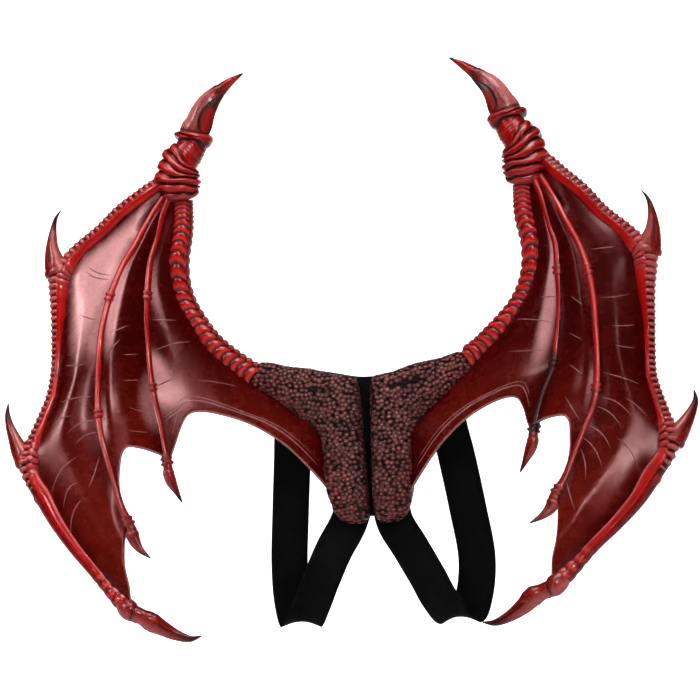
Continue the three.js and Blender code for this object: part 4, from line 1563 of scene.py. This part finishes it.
@dataclass
class Claw(Limb):
    """A claw or spike: rings at its base, a grooved blade and a dark tip."""

    finish: FoamFinish = HORN_BROWN
    base: float = 0.12
    folds: int = 2
    ring: float = 0.12
    groove_at: float = 1.9
    groove: float = 0.10
    tip_from: float = 0.45

    def relief(self, bone: Bone, u: Array, angle: Array) -> Relief:
        """Base rings, a long groove and the tip's wash.

        Args:
            bone: the middle line; not used.
            u: shares of the length.
            angle: angles round the limb.

        Returns:
            The surface and its paint marks.
        """
        base = 1 - smooth(self.base * 0.9, self.base * 1.1, u)
        share = (u / self.base * self.folds) % 1
        rings = base * (pillow(share, 2.5) - 0.4)
        crease = 0.8 * base * bell(np.minimum(share, 1 - share), 0.13 * min(1, 0.2 / self.base))
        line = bell(wrapped(angle, self.groove_at), 0.28) * smooth(self.base, self.base + 0.1, u)
        line = line * (1 - smooth(0.75, 0.95, u))
        radius = 1 + self.ring * rings - self.groove * line
        streak = 0.5 + 0.5 * np.sin(9 * angle + 14 * u)
        tip = smooth(self.tip_from, 0.98, u)
        wash = np.maximum.reduce([crease, 0.7 * line, tip * (0.55 + 0.45 * streak), 0.25 * streak])
        pale = 0.55 * bell(wrapped(angle, 0.9), 0.6) * (1 - tip)
        return Relief(radius, wash, pale, 0.35 * (1 - tip))


class Vein(NamedTuple):
    """A raised vein on a web: where it starts and ends, its bow down between them and its half width."""

    across: float
    down: float
    across_to: float
    down_to: float
    bow: float = 0.0
    size: float = 0.00075


@dataclass
class Web:
    """A glossy skin strung between two bones, with veins and a rolled trailing edge."""

    name: str
    outer: tuple[Row, ...]
    inner: tuple[Row, ...]
    side: Side
    columns: int = 84
    rows: int = 112
    bunched: float = 0.35
    # Where the web starts, the depth of its soft rays, and the span over which its ends are evened
    start: float = 0.0
    folds: float = 0.0003
    even: float = 0.12
    # The rolled edge: its half thickness, the bare share at each end and its places
    rim: float = 0.0013
    rim_inset: float = 0.015
    rim_places: int = 150
    # The second line: how far inside the edge it is, and how far up each strand is and how thick
    second: float = 0.0
    second_inset: float = 0.06
    second_places: int = 120
    strands: tuple[tuple[float, float], ...] = ((0.0, 0.0011), (0.016, 0.0007))
    # The veins: their places, and how far in front of the middle they are over the thickness
    vein_places: int = 26
    vein_lift: float = 0.48

    def __post_init__(self) -> None:
        """Fits the bones and the trailing edge."""
        self.bones = [Bone(rows, self.side, 1.0) for rows in (self.outer, self.inner)]
        self.edge_line = Curve(np.array([(a, 0.0, d) for a, d in REACHES[self.name]]))
        self.label = f"{self.side.label}_{self.name}"

    def down_at(self, across: Array) -> Array:
        """How far down the web reaches at a place across it.

        Args:
            across: shares from the outer bone to the inner one.

        Returns:
            Shares of the bones' lengths.
        """
        dense = self.edge_line.places
        order = np.maximum.accumulate(dense[:, 0])
        down = np.interp(across, order, dense[:, 2])
        droop = np.sqrt(np.clip(np.sin(math.pi * across), 0, 1)) * 1.5 * self.side.value * DROOP[self.name]
        return np.minimum(1, down + droop)

    def surface(self, across: Array, share: Array) -> Array:
        """The web's middle surface.

        Args:
            across: shares from the outer bone to the inner one.
            share: shares of the bones' lengths.

        Returns:
            Places.
        """
        share = np.clip(share, 0, 1)
        a, b = (bone.at(share) for bone in self.bones)
        calm = smooth(0, 0.3, np.minimum(across, 1 - across))
        near = np.minimum(1, np.minimum(share, 1 - share) / self.even)
        for bone, ends in zip(self.bones, (a, b)):
            taps = [bone.at(share + near * step)[..., 1] for step in np.linspace(-self.even, self.even, 9)]
            ends[..., 1] += calm * (np.mean(taps, axis=0) - ends[..., 1])
        puff = PUFF[self.name] * np.sin(math.pi * across) * np.minimum(1, 2.2 * share)
        rays = self.folds * np.sin(math.pi * across) * np.sin(TURN * 3.2 * across + 5 * share) * share
        return a + (b - a) * across[..., None] + (puff + rays)[..., None] * FRONT

    def build(self, shop: Workshop) -> None:
        """Builds the skin and grows its veins and rims.

        Args:
            shop: trees and materials.
        """
        across = 0.5 - 0.5 * np.cos(np.linspace(0, math.pi, self.columns))
        across = self.bunched * across + (1 - self.bunched) * np.linspace(0, 1, self.columns)
        down = np.linspace(0, 1, self.rows)
        cross, run = np.meshgrid(across, down, indexing="ij")
        share = self.start + (self.down_at(cross) - self.start) * run
        middle = self.surface(cross, share)
        normal = np.cross(np.gradient(middle, axis=0), np.gradient(middle, axis=1))
        normal /= np.maximum(np.linalg.norm(normal, axis=-1, keepdims=True), 1e-12)
        normal *= np.where(normal @ FRONT < 0, -1.0, 1.0)[..., None]
        rings = np.concatenate([middle + WEB / 2 * normal, (middle - WEB / 2 * normal)[:, ::-1]], axis=1)
        near = np.minimum(cross, 1 - cross)
        # Darker beside the bones, where the wash is partly painted shade in the valleys, and along the
        # trailing edge
        wash = 0.75 * bell(near, 0.045) + 0.3 * bell(1 - run, 0.012)
        hot = smooth(0.45, 0.95, share) * smooth(0.05, 0.3, near)
        # Painted highlights: pale zones on the web standing in for reflections of the lights
        pale = np.zeros_like(cross)
        for mid, deep, wide, long, strong in PAINTED_HIGHLIGHTS[self.side, self.name]:
            away = np.hypot((cross - mid) / wide, (share - deep) / long)
            pale = np.maximum(pale, strong * (1 - smooth(0.35, 1.0, away)))
        marks = {"wash": wash, "hot": hot, "pale": pale}
        marks = {k: np.concatenate([v, v[:, ::-1]], axis=1).ravel() for k, v in marks.items()}
        skin = make_object(f"{self.label}_skin", rings.reshape(-1, 3),
                           slab_faces(self.columns, 2 * self.rows), marks)
        shop.finish(skin, WEB_RED, f"{self.label}_web")
        self.grow_rims(shop)
        self.grow_veins(shop)

    def grow(self, shop: Workshop, name: str, lines: Sequence[Array], sizes: Sequence[Array],
             values: dict[str, object]) -> None:
        """Grows cords along lines on the web.

        Args:
            shop: trees and materials.
            name: the piece's name, without the web's.
            lines: places along each line.
            sizes: the cord's half thickness at each place.
            values: the tree's inputs besides the material.
        """
        cords = grown(f"{self.label}_{name}", guide_lines(lines, sizes), shop.strands,
                      {**values, "Material": shop.materials[WEB_RED]})
        shop.finish(cords, WEB_RED)

    def grow_rims(self, shop: Workshop) -> None:
        """Rolls the trailing edge, and draws the second line inside it.

        Args:
            shop: trees and materials.
        """
        across = np.linspace(self.rim_inset, 1 - self.rim_inset, self.rim_places)
        lines = [self.surface(across, self.down_at(across))]
        sizes = [np.full(len(across), self.rim)]
        if self.second:
            inside = np.linspace(self.second_inset, 1 - self.second_inset, self.second_places)
            share = self.down_at(inside) - self.second * (1 - 0.25 * inside)
            for step, thick in self.strands:
                lines.append(self.surface(inside, share - step) + WEB / 2 * FRONT)
                sizes.append(thick * np.sqrt(np.sin(np.linspace(0.02, math.pi - 0.02, len(inside)))))
        self.grow(shop, "rim", lines, sizes, {"Sides": 9, "Wash": 0.35, "Pale": 0.5})

    def grow_veins(self, shop: Workshop) -> None:
        """Raises the veins.

        Args:
            shop: trees and materials.
        """
        lines, sizes = [], []
        t = np.linspace(0, 1, self.vein_places)
        for vein in VEINS[self.side, self.name]:
            across = vein.across + (vein.across_to - vein.across) * t
            share = vein.down + (vein.down_to - vein.down) * t + vein.bow * np.sin(math.pi * t)
            lines.append(self.surface(across, share) + WEB * self.vein_lift * FRONT)
            sizes.append(vein.size * np.sin(math.pi * np.clip(t, 0.04, 0.96)) ** 0.6)
        self.grow(shop, "veins", lines, sizes, {"Sides": 6, "Wash": 0.1, "Pale": 0.42})


@dataclass
class ShoulderBlock:
    """The thick shoulder piece, covered with small scales."""

    rings: int = 110
    sides: int = 84
    pitch: float = 0.0036
    scale: float = 0.0034
    square: float = 0.62
    kernel: tuple[int, ...] = (1, 2, 3, 2, 1)
    inset: float = 0.0012
    end_rings: int = 7
    end_size: float = 0.65
    dent: float = 0.0008
    dent_long: float = 0.045
    cut: float = 0.0011
    cut_deep: float = 0.0018
    # The warm tone starts this far out, and is full after so much further out or down
    warm_from: float = 0.025
    warm_out: float = 0.07
    warm_down: float = 0.12
    # Each crease and cut in the hide: its two ends, across and up
    cuts: dict[Side, tuple] = field(default_factory=lambda: {
        Side.LEFT: ((-0.058, 0.066, -0.031, 0.064), (-0.0205, -0.0485, -0.008, -0.0565)),
        Side.RIGHT: ((0.027, 0.064, 0.066, 0.073), (0.0235, -0.054, 0.044, -0.047))})

    def sections(self, side: Side) -> tuple[Array, Array, Array, Array]:
        """The block's sections, smoothed: edge a, edge b, back depth and thickness.

        Args:
            side: which wing.

        Returns:
            The two edges, the depth of the back and the thickness at each section.
        """
        rows = np.array(BLOCK_SECTIONS)
        run = Curve(np.column_stack([rows[:, 0], rows[:, 1], np.zeros(len(rows))]))
        ends = np.stack([np.interp(np.linspace(0, 1, self.rings), run.stops, rows[:, k])
                         for k in range(6)], -1)
        kernel = np.array(self.kernel) / sum(self.kernel)
        padded = np.vstack([ends[:1]] * 2 + [ends] + [ends[-1:]] * 2)
        ends = np.stack([np.convolve(padded[:, k], kernel, "valid") for k in range(6)], -1)
        sign = side.value
        a, b = (np.column_stack([sign * ends[:, k] * BLOCK_WIDE, np.zeros(self.rings),
                                 ends[:, k + 1] * BLOCK_HIGH]) for k in (0, 2))
        return a, b, BLOCK_BACK + ends[:, 4] * BLOCK, ends[:, 5] * BLOCK

    def build(self, shop: Workshop, side: Side) -> None:
        """Builds the base and grows the scales on it.

        Args:
            shop: trees and materials.
            side: which wing.
        """
        a, b, back, thick = self.sections(side)
        angle = np.arange(self.sides) * TURN / self.sides
        cos, sin = (np.sign(v) * np.abs(v) ** self.square for v in (np.cos(angle), np.sin(angle)))
        middle = (a + b) / 2
        half = (b - a) / 2
        shrink = np.ones(self.rings)
        gone = 1 - np.linspace(0, 1, self.end_rings)
        shrink[:self.end_rings] = self.end_size + (1 - self.end_size) * np.sqrt(1 - gone ** 2)
        shrink[-self.end_rings:] = shrink[:self.end_rings][::-1]
        size = shrink * (1 - self.inset / np.linalg.norm(half, axis=1))
        points = middle[:, None, :] + (half * size[:, None])[:, None, :] * cos[None, :, None]
        points[..., 1] = (-(back + thick / 2)[:, None]
                          - ((thick / 2 - self.inset) * shrink)[:, None] * sin[None, :])
        points[..., 1] -= self.dent * ripple(points, self.dent_long, 4) * (sin > 0.2)
        faces = capped_faces(self.rings, self.sides)
        flat = np.vstack([points.reshape(-1, 3), points[0].mean(0), points[-1].mean(0)])
        rear, front = (np.append(np.tile(part, self.rings), [False, False]).astype(float)
                       for part in (sin < -0.75, sin > 0.3))
        for x0, z0, x1, z1 in self.cuts[side]:
            way = np.array([x1 - x0, z1 - z0])
            gone = flat[:, [0, 2]] - (x0, z0)
            share = np.clip(gone @ way / (way @ way), 0, 1)
            away = np.linalg.norm(gone - share[:, None] * way, axis=1)
            sunk = bell(away, self.cut) * front
            rear = np.maximum(rear, sunk * 1.6)
            flat[:, 1] += self.cut_deep * sunk
        grade = np.clip((np.abs(flat[:, 0]) - self.warm_from) / self.warm_out
                        - flat[:, 2] / self.warm_down, 0, 1)
        # The base is dark all over: between the scales it stands as painted shade
        marks = {"wash": np.full(len(flat), 0.9), "pale": np.zeros(len(flat)), "hot": grade, "bare": rear}
        base = make_object(f"{side.label}_block_base", flat, faces, marks)
        guide = placed("scale_guide", base.data.copy())
        shop.finish(base, HIDE, f"{side.label}_shoulder_block")
        scales = grown(f"{side.label}_block_scales", guide, shop.scales,
                       {"Pitch": self.pitch, "Scale Size": self.scale, "Height": 0.5, "Seed": 3,
                        "Material": shop.materials[HIDE]})
        shop.finish(scales, HIDE)


@dataclass
class BackPanel:
    """The black cloth panel behind the blocks, with a seam round its edge."""

    seam: float = 0.005
    step: float = 0.004
    roundings: int = 3
    # The edge's section: how far in, and how deep as a share of the thickness
    profile: tuple[tuple[float, float], ...] = ((0.0, 0.5), (0.0006, 0.12), (0.0018, 0.0),
                                                (0.005, 0.03), (0.0075, 0.0))
    pitch: float = 0.0042
    stitch: float = 0.003
    thread: float = 0.00035
    sunk: float = 0.0001

    def outline(self) -> Array:
        """The panel's edge, rounded and closed, as places on its rear face.

        Returns:
            Places, one a row.
        """
        half = [(x * PANEL_WING, z * PANEL_TOP) for x, z in PANEL_EDGE]
        half += [(x * PANEL_WING, -z * PANEL_DROP) for x, z in PANEL_TAIL]
        both = half + [(-x, z) for x, z in reversed(half[1:-1])]
        return np.array([(x, 0.0, z) for x, z in both])

    def build(self, shop: Workshop) -> None:
        """Builds the cloth and its stitches.

        Args:
            shop: trees and materials.
        """
        corners = self.outline()
        ring = []
        for k, here in enumerate(corners):
            after = corners[(k + 1) % len(corners)]
            steps = max(2, int(np.linalg.norm(after - here) / self.step))
            ring += [here + (after - here) * t for t in np.linspace(0, 1, steps, endpoint=False)]
        ring = np.array(ring)
        for _ in range(self.roundings):
            ring = 0.5 * ring + 0.25 * (np.roll(ring, 1, 0) + np.roll(ring, -1, 0))
        way = np.roll(ring, -1, 0) - np.roll(ring, 1, 0)
        way /= np.linalg.norm(way, axis=1, keepdims=True)
        inward = np.cross(way, [0, 1, 0])
        middle = ring.mean(0)
        if np.einsum("ij,ij->i", inward, middle - ring).mean() < 0:
            inward *= -1
        edge = [*((push, 1 - deep) for push, deep in self.profile[:0:-1]), *self.profile]
        rows = [ring + inward * push + PANEL * deep * FRONT for push, deep in edge]
        count = len(ring)
        mesh = bmesh.new()
        verts = [mesh.verts.new(p) for p in np.vstack(rows)]
        for face in grid_faces(len(rows), count).tolist():
            mesh.faces.new([verts[i] for i in face])
        for start in (0, (len(rows) - 1) * count):
            bmesh.ops.triangulate(mesh, faces=[mesh.faces.new(verts[start:start + count])])
        bmesh.ops.recalc_face_normals(mesh, faces=mesh.faces)
        data = bpy.data.meshes.new("back_panel_cloth")
        layer = mesh.loops.layers.uv.new("UVMap")
        for face in mesh.faces:
            for loop in face.loops:
                loop[layer].uv = (loop.vert.co.x, loop.vert.co.z)
        mesh.to_mesh(data)
        mesh.free()
        panel = placed("back_panel_cloth", data)
        shop.finish(panel, CLOTH, "back_panel")
        line = ring + inward * self.seam
        line = np.vstack([line, line[:1]])
        head = np.vstack([way, way[:1]])
        side = np.vstack([inward, inward[:1]])
        guide = guide_lines([line - self.sunk * FRONT], None, [(head, side)])
        stitches = grown("back_panel_stitches", guide, shop.stitches,
                         {"Pitch": self.pitch, "Stitch": self.stitch, "Thread": self.thread,
                          "Material": shop.materials[CLOTH]})
        shop.finish(stitches, CLOTH)


@dataclass
class ArmLoop:
    """A woven elastic loop for one arm."""

    rings: int = 260
    columns: int = 9

    def build(self, shop: Workshop, side: Side) -> None:
        """Args:
            shop: trees and materials.
            side: which wing.
        """
        sign = side.value
        front = PANEL + GAP + STRAP_THICK / 2
        places = np.array([((sign * out + sway) * STRAP_SIDE, back * STRAP_BACK - front, up * STRAP_LOOP)
                           for out, back, up, sway in STRAP_PATH])
        line = Curve(places)
        u = np.linspace(0, 1, self.rings)
        along = line.heading(u)
        across = np.array([1.0, 0, 0]) - along * along[:, :1]
        across /= np.linalg.norm(across, axis=1, keepdims=True)
        face = np.cross(along, across)
        share = np.linspace(-1, 1, self.columns)
        thin = STRAP_THICK / 2 * (1 - 0.45 * np.abs(share) ** 6)
        flat = line.at(u)[:, None, :] + across[:, None, :] * (share * STRAP_WIDE / 2)[None, :, None]
        lift = face[:, None, :] * thin[None, :, None]
        rings = np.concatenate([flat + lift, (flat - lift)[:, ::-1]], axis=1)
        size = 2 * self.columns
        v = np.repeat((u * line.length)[:, None], size, 1)
        w = np.tile(np.concatenate([share, share[::-1]])[None, :] * 0.5 + 0.5, (self.rings, 1))
        band = make_object(f"{side.label}_elastic_loop", rings.reshape(-1, 3),
                           slab_faces(self.rings, size), uv=np.stack([w, v], -1).reshape(-1, 2))
        shop.finish(band, ELASTIC, f"{side.label}_strap")
        log.info("%s elastic: %.3f m long", side.label, line.length)


class Lamp(NamedTuple):
    """A soft light: where it stands, what it is aimed at, and how it shines."""

    name: str
    place: tuple[float, float, float]
    aim: tuple[float, float, float]
    wide: float
    high: float
    watts: float
    spread: float = 180.0
    glossy: bool = True


@dataclass
class Studio:
    """The pale floor, the soft lights and the camera."""

    target: tuple[float, float, float] = (-0.0125, -0.0218, 0.1042)
    distance: float = 2.62
    azimuth: float = math.radians(12.0)
    roll: float = math.radians(3.061)
    lens: float = 134.7
    sensor: float = 36.0
    clip: tuple[float, float] = (0.05, 50.0)
    floor_gap: float = 0.25
    floor_run: float = 4.4
    floor_rise: float = 2.6
    floor_bend: float = 0.8
    room: float = 0.02
    paper: float = 0.85
    middle: tuple[float, float, float] = (0.0, -0.1, 0.1)

    @property
    def lamps(self) -> tuple[Lamp, ...]:
        """Wide lights that fill, and narrow ones that put highlights on the webs.

        Returns:
            The lights.
        """
        return (
            Lamp("top", (0.1, -0.7, 2.2), self.middle, 1.2, 0.8, 26.0),
            Lamp("right", (1.95, -1.13, 0.9), self.middle, 0.5, 1.3, 16.0, glossy=False),
            Lamp("left", (-2.13, -0.7, 1.1), self.middle, 0.5, 1.3, 18.0, glossy=False),
            Lamp("low", (0.2, -2.6, -0.25), self.middle, 1.4, 0.25, 9.0, glossy=False),
            Lamp("glint_left", (-1.55, -1.35, 1.6), (-0.33, -0.1, 0.26), 0.35, 1.2, 0.6, 20.0),
            Lamp("glint_top", (0.50, -1.94, 1.70), (-0.30, -0.1, 0.18), 0.8, 1.1, 0.8, 16.0),
            Lamp("glint_right", (0.85, -2.2, 1.20), (0.13, -0.1, 0.08), 0.35, 1.1, 0.25, 9.0))

    def build(self) -> None:
        """Builds the stage."""
        self.floor()
        for lamp in self.lamps:
            light = bpy.data.lights.new(lamp.name, "AREA")
            light.shape, light.size, light.size_y = "RECTANGLE", lamp.wide, lamp.high
            light.energy, light.spread = lamp.watts, math.radians(lamp.spread)
            made = placed(lamp.name, light)
            made.location = lamp.place
            made.visible_glossy = lamp.glossy
            way = Vector(lamp.aim) - Vector(lamp.place)
            made.rotation_euler = way.to_track_quat("-Z", "Y").to_euler()
        world = bpy.data.worlds.new("soft room")
        world.use_nodes = True
        world.node_tree.nodes["Background"].inputs[0].default_value = (1.0, 1.0, 1.0, 1)
        board = Board(world.node_tree)
        seen = board.add("ShaderNodeLightPath").outputs["Is Camera Ray"]
        board.feed(world.node_tree.nodes["Background"], "Strength",
                   board.math("MULTIPLY_ADD", seen, self.paper, third=self.room))
        scene = bpy.context.scene
        scene.world = world
        scene.view_settings.view_transform = "Standard"
        scene.view_settings.look = "Medium High Contrast"
        self.camera()

    def floor(self) -> None:
        """A pale floor that sweeps up behind the wings."""
        low = CAD_BOX[0][2] - self.floor_gap
        run, rise, bend = self.floor_run, self.floor_rise, self.floor_bend
        line = [(-run, low), *[(run - bend + bend * math.sin(t), low + bend - bend * math.cos(t))
                               for t in np.linspace(0, math.pi / 2, 24)], (run, low + rise)]
        points = [(x, y, z) for y, z in line for x in (-run, run)]
        faces = [(2 * k, 2 * k + 1, 2 * k + 3, 2 * k + 2) for k in range(len(line) - 1)]
        mesh = bpy.data.meshes.new("pale_floor")
        mesh.from_pydata(points, [], faces)
        mesh.polygons.foreach_set("use_smooth", [True] * len(mesh.polygons))
        floor = placed("pale_floor", mesh)
        material = bpy.data.materials.new("Pale paper")
        material.use_nodes = True
        shader = material.node_tree.nodes["Principled BSDF"]
        shader.inputs["Base Color"].default_value = (0.92, 0.92, 0.92, 1)
        shader.inputs["Roughness"].default_value = 0.9
        shader.inputs["Emission Color"].default_value = (1, 1, 1, 1)
        board = Board(material.node_tree)
        spot = board.add("ShaderNodeTexCoord").outputs["Object"]
        far = board.add("ShaderNodeSeparateXYZ", {0: spot}).outputs[1]
        board.feed(shader, "Emission Strength", board.grade(far, 0.2, 1.3, 0.0, self.paper))
        mesh.materials.append(material)

    def camera(self) -> None:
        """Stands the camera where the wings' picture was taken from."""
        back = Vector((math.sin(self.azimuth), -math.cos(self.azimuth), 0))
        level = Vector((math.cos(self.azimuth), math.sin(self.azimuth), 0))
        up = Vector((0, 0, 1))
        right = math.cos(self.roll) * level - math.sin(self.roll) * up
        top = math.sin(self.roll) * level + math.cos(self.roll) * up
        data = bpy.data.cameras.new("camera")
        data.sensor_fit, data.sensor_width, data.lens = "HORIZONTAL", self.sensor, self.lens
        data.clip_start, data.clip_end = self.clip
        camera = placed("camera", data)
        turn = Matrix((right, top, back)).transposed()
        stand = Vector(self.target) + back * self.distance
        camera.matrix_world = Matrix.Translation(stand) @ turn.to_4x4()
        bpy.context.scene.camera = camera


def veins(*rows: tuple[float, ...]) -> list[Vein]:
    """Turns plain rows of numbers into named veins.

    Args:
        rows: the rows.

    Returns:
        The veins.
    """
    return [Vein(*row) for row in rows]


# Each web's veins
VEINS = {
    (Side.LEFT, "outer"): veins(
        (0.39, 0.245, 0.91, 0.26, 0.006), (0.42, 0.258, 0.9, 0.272, 0.006), (0.48, 0.36, 0.9, 0.39),
        (0.23, 0.46, 0.72, 0.495), (0.32, 0.55, 0.96, 0.605, -0.006), (0.26, 0.605, 0.64, 0.615, -0.01),
        (0.59, 0.65, 0.99, 0.675, -0.01), (0.66, 0.69, 0.98, 0.71, -0.01),
        (0.1, 0.73, 0.67, 0.72, -0.014), (0.19, 0.77, 0.52, 0.765, -0.012),
        (0.03, 0.82, 0.46, 0.8, -0.012), (0.62, 0.8, 0.93, 0.77, 0.006)),
    (Side.LEFT, "middle"): veins(
        (0.16, 0.51, 0.54, 0.485), (0.25, 0.45, 0.8, 0.455), (0.51, 0.535, 0.96, 0.575),
        (0.51, 0.615, 0.92, 0.665), (0.54, 0.7, 0.96, 0.8), (0.47, 0.775, 0.9, 0.86)),
    (Side.LEFT, "inner"): veins(
        (0.02, 0.84, 0.22, 0.765, -0.006), (0.03, 0.825, 0.22, 0.75, -0.006),
        (0.02, 0.575, 0.67, 0.46, -0.012), (0.03, 0.7, 0.21, 0.65), (0.07, 0.45, 0.62, 0.385),
        (0.38, 0.645, 0.78, 0.64, -0.008)),
    (Side.RIGHT, "outer"): veins(
        (0.84, 0.27, 0.38, 0.27), (0.86, 0.41, 0.25, 0.375), (0.67, 0.47, 0.18, 0.435),
        (0.63, 0.515, 0.2, 0.485), (0.96, 0.625, 0.17, 0.565, -0.006), (0.58, 0.64, 0.26, 0.645, -0.006),
        (0.93, 0.69, 0.5, 0.67, -0.012), (0.98, 0.725, 0.56, 0.71, -0.014),
        (0.98, 0.785, 0.56, 0.765, -0.014), (0.97, 0.82, 0.54, 0.81, -0.012),
        (0.95, 0.845, 0.64, 0.865, -0.008), (0.57, 0.735, 0.15, 0.745, -0.01), (0.95, 0.94, 0.53, 0.92)),
    (Side.RIGHT, "middle"): veins(
        (0.61, 0.775, 0.11, 0.795), (0.7, 0.45, 0.3, 0.46), (0.75, 0.58, 0.35, 0.57),
        (0.7, 0.68, 0.3, 0.67)),
    (Side.RIGHT, "inner"): veins(
        (0.8, 0.43, 0.04, 0.57, -0.01), (0.29, 0.43, 0.02, 0.475), (0.5, 0.6, 0.1, 0.66)),
}
# Each web's painted highlights, pale zones standing in for the lights' reflections: the middle across and
# down, the half spans and the strength
PAINTED_HIGHLIGHTS = {
    (Side.LEFT, "outer"): ((0.62, 0.27, 0.46, 0.25, 1.0), (0.88, 0.40, 0.28, 0.14, 0.6)),
    (Side.LEFT, "middle"): ((0.24, 0.36, 0.22, 0.20, 0.9), (0.95, 0.75, 0.25, 0.14, 0.4)),
    (Side.LEFT, "inner"): ((0.06, 0.68, 0.18, 0.15, 0.6),),
    (Side.RIGHT, "outer"): (),
    (Side.RIGHT, "middle"): (),
    (Side.RIGHT, "inner"): ((0.13, 0.46, 0.13, 0.34, 0.95),),
}


def build_wing(shop: Workshop, side: Side) -> None:
    """Builds one wing, from its root outwards.

    Args:
        shop: trees and materials.
        side: which wing.
    """
    limbs = (
        Arm(), Wrist(), Horn(), LeadingFinger(),
        ThinFinger("middle_rod", ("middle_finger",), MIDDLE_PATH, ROD),
        # The inner rod has painted shade on its flank and, on the right wing, on its lower end
        ThinFinger("inner_rod", ("inner_finger",), INNER_PATH, ROD, dark_flank=0.85, dark_end=0.9),
        Claw("upper_spur", ("upper_spike",), UPPER_SPIKE, SPIKE, folds=1, tip_from=0.35),
        Claw("lower_spur", ("lower_spike",), LOWER_SPIKE, SPIKE, folds=1, tip_from=0.35),
        Claw("leading_talon", ("leading_claw",), CLAW_PATH, CLAW, rings=150, base=0.42, ring=0.18),
        Claw("middle_talon", ("middle_claw",), MIDDLE_CLAW, NAIL, base=0.3),
        Claw("inner_talon", ("inner_claw",), INNER_CLAW, NAIL, base=0.3))
    webs = (
        Web("outer", LEAD_PATH, MIDDLE_PATH, side, rim=0.0010),
        Web("middle", MIDDLE_PATH, INNER_PATH, side, start=0.02),
        Web("inner", INNER_PATH, ARM_PATH + BLOCK_EDGE, side, second=0.045))
    for piece in (ShoulderBlock(), *limbs):
        piece.build(shop, side)
    for web in webs:
        web.build(shop)


def main() -> None:
    """Builds the panel, both wings, the loops and the studio."""
    logging.basicConfig(level=logging.INFO, format="%(name)s: %(message)s")
    shop = Workshop()
    for side in Side:
        build_wing(shop, side)
    BackPanel().build(shop)
    for side in Side:
        ArmLoop().build(shop, side)
    Studio().build()


if __name__ == "__main__":
    main()
